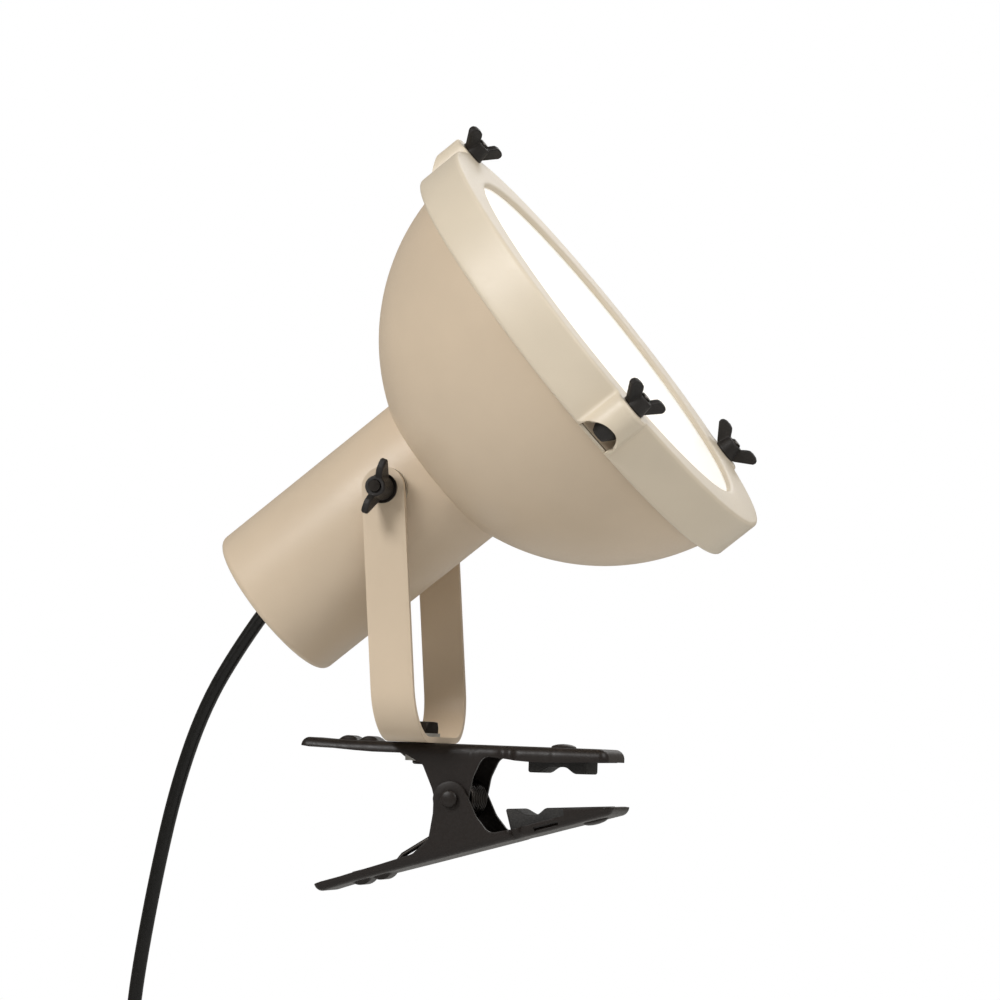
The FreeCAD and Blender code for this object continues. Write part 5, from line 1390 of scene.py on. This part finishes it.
def floor_paper():
    """Pale paper that fades to plain white far from the lamp."""
    paper = new_finish("floor_paper", (0.74, 0.74, 0.73), 0.9, specular=0.1)
    tinted(paper, noise(paper, 0.5), 0.99, 1.01)
    reach = linked(paper, "ShaderNodeVectorMath", {0: object_place(paper)}, operation="LENGTH")
    fade = {"Value": reach.outputs["Value"], "From Min": 0.9, "From Max": 2.4}
    far = linked(paper, "ShaderNodeMapRange", fade, interpolation_type="SMOOTHSTEP")
    ray = linked(paper, "ShaderNodeLightPath").outputs["Is Camera Ray"]
    both = {0: far.outputs["Result"], 1: ray}
    share = linked(paper, "ShaderNodeMath", both, operation="MULTIPLY").outputs[0]
    white = linked(paper, "ShaderNodeEmission", {"Color": (1, 1, 1, 1), "Strength": 1.0})
    blend = {0: share, 1: shader_of(paper).outputs[0], 2: white.outputs[0]}
    mix = linked(paper, "ShaderNodeMixShader", blend)
    surface = paper.node_tree.nodes["Material Output"].inputs["Surface"]
    paper.node_tree.links.new(mix.outputs[0], surface)
    return paper


class SPOTLIGHT_OT_stage(bpy.types.Operator):
    """Set up the floor, the lights, the white surroundings and the camera"""

    bl_idname = "spotlight.stage"
    bl_label = "Stage"

    def execute(self, context):
        scene = context.scene
        scene.view_settings.view_transform = "Standard"
        scene.world = world = bpy.data.worlds.new("surroundings")
        world.use_nodes = True
        sky = world.node_tree.nodes["Background"]
        rays = linked(world, "ShaderNodeLightPath").outputs
        direct = {0: rays["Is Camera Ray"], 1: rays["Is Transmission Ray"]}
        seen = linked(world, "ShaderNodeMath", direct, operation="MAXIMUM").outputs["Value"]
        levels = {"Value": seen, "To Min": 0.27, "To Max": 1.0}
        level = linked(world, "ShaderNodeMapRange", levels).outputs["Result"]
        whites = {"Factor": seen, "A": (1.0, 0.94, 0.85, 1.0), "B": (1.0, 1.0, 1.0, 1.0)}
        white = linked(world, "ShaderNodeMix", whites, data_type="RGBA").outputs["Result"]
        world.node_tree.links.new(white, sky.inputs["Color"])
        world.node_tree.links.new(level, sky.inputs["Strength"])
        alone()
        height = CAD_BOX[0][2] - FLOOR_DROP * MM
        bpy.ops.mesh.primitive_circle_add(
            vertices=96, radius=14.0, fill_type="NGON", location=(0, 0, height)
        )
        floor = context.object
        floor.name = "floor"
        floor.data.materials.append(floor_paper())
        for name, place, size, power in (
            ("key", (-1.2, -1.9, 1.5), 1.1, 45.0),
            ("fill", (1.6, -0.6, 1.4), 1.3, 25.0),
            ("rim", (0.2, 1.7, 1.2), 1.2, 7.0),
        ):
            lamp = bpy.data.lights.new(name, "AREA")
            lamp.shape = "DISK"
            lamp.size = size
            lamp.energy = power
            light = bpy.data.objects.new(name, lamp)
            scene.collection.objects.link(light)
            aim = (Vector((-0.02, 0, 0.06)) - Vector(place)).to_track_quat("-Z", "Y")
            light.matrix_world = Matrix.Translation(place) @ aim.to_matrix().to_4x4()
        view = bpy.data.cameras.new("camera")
        view.sensor_width = SENSOR_WIDTH
        view.lens = FOCAL_WIDTHS * SENSOR_WIDTH
        view.clip_end = 100.0
        camera = bpy.data.objects.new("camera", view)
        scene.collection.objects.link(camera)
        camera.matrix_world = camera_matrix()
        scene.camera = camera
        return {"FINISHED"}


PIECES = (
    SPOTLIGHT_OT_stage,
    SPOTLIGHT_OT_switch,
    SPOTLIGHT_OT_plug,
    SPOTLIGHT_OT_cord,
    SPOTLIGHT_OT_jaws,
    SPOTLIGHT_OT_pads,
    SPOTLIGHT_OT_rivets,
    SPOTLIGHT_OT_spring,
    SPOTLIGHT_OT_yoke,
    SPOTLIGHT_OT_yoke_bolt,
    SPOTLIGHT_OT_neck,
    SPOTLIGHT_OT_dome,
    SPOTLIGHT_OT_ring,
    SPOTLIGHT_OT_glass,
    SPOTLIGHT_OT_wing_nuts,
    SPOTLIGHT_OT_studs,
    SPOTLIGHT_OT_lampholder,
)


class SPOTLIGHT_PT_pieces(bpy.types.Panel):
    """Lists the lamp's sizes, colours and pieces"""

    bl_label = "Clamp spotlight"
    bl_idname = "SPOTLIGHT_PT_pieces"
    bl_space_type = "VIEW_3D"
    bl_region_type = "UI"
    bl_category = "Spotlight"

    def draw(self, context):
        layout = self.layout
        for group in (sizes(), colours()):
            box = layout.box()
            for name in group.__annotations__:
                box.prop(group, name)
        for piece in PIECES:
            layout.operator(piece.bl_idname)


CLASSES = (SpotlightSizes, SpotlightColours, *PIECES, SPOTLIGHT_PT_pieces)


def register():
    for made in CLASSES:
        bpy.utils.register_class(made)
    bpy.types.Scene.spotlight_sizes = bpy.props.PointerProperty(type=SpotlightSizes)
    bpy.types.Scene.spotlight_colours = bpy.props.PointerProperty(type=SpotlightColours)


def unregister():
    del bpy.types.Scene.spotlight_colours
    del bpy.types.Scene.spotlight_sizes
    for made in reversed(CLASSES):
        bpy.utils.unregister_class(made)


def main():
    register()
    for piece in PIECES:
        family, name = piece.bl_idname.split(".")
        getattr(getattr(bpy.ops, family), name)()
    alone()


if __name__ == "__main__":
    main()
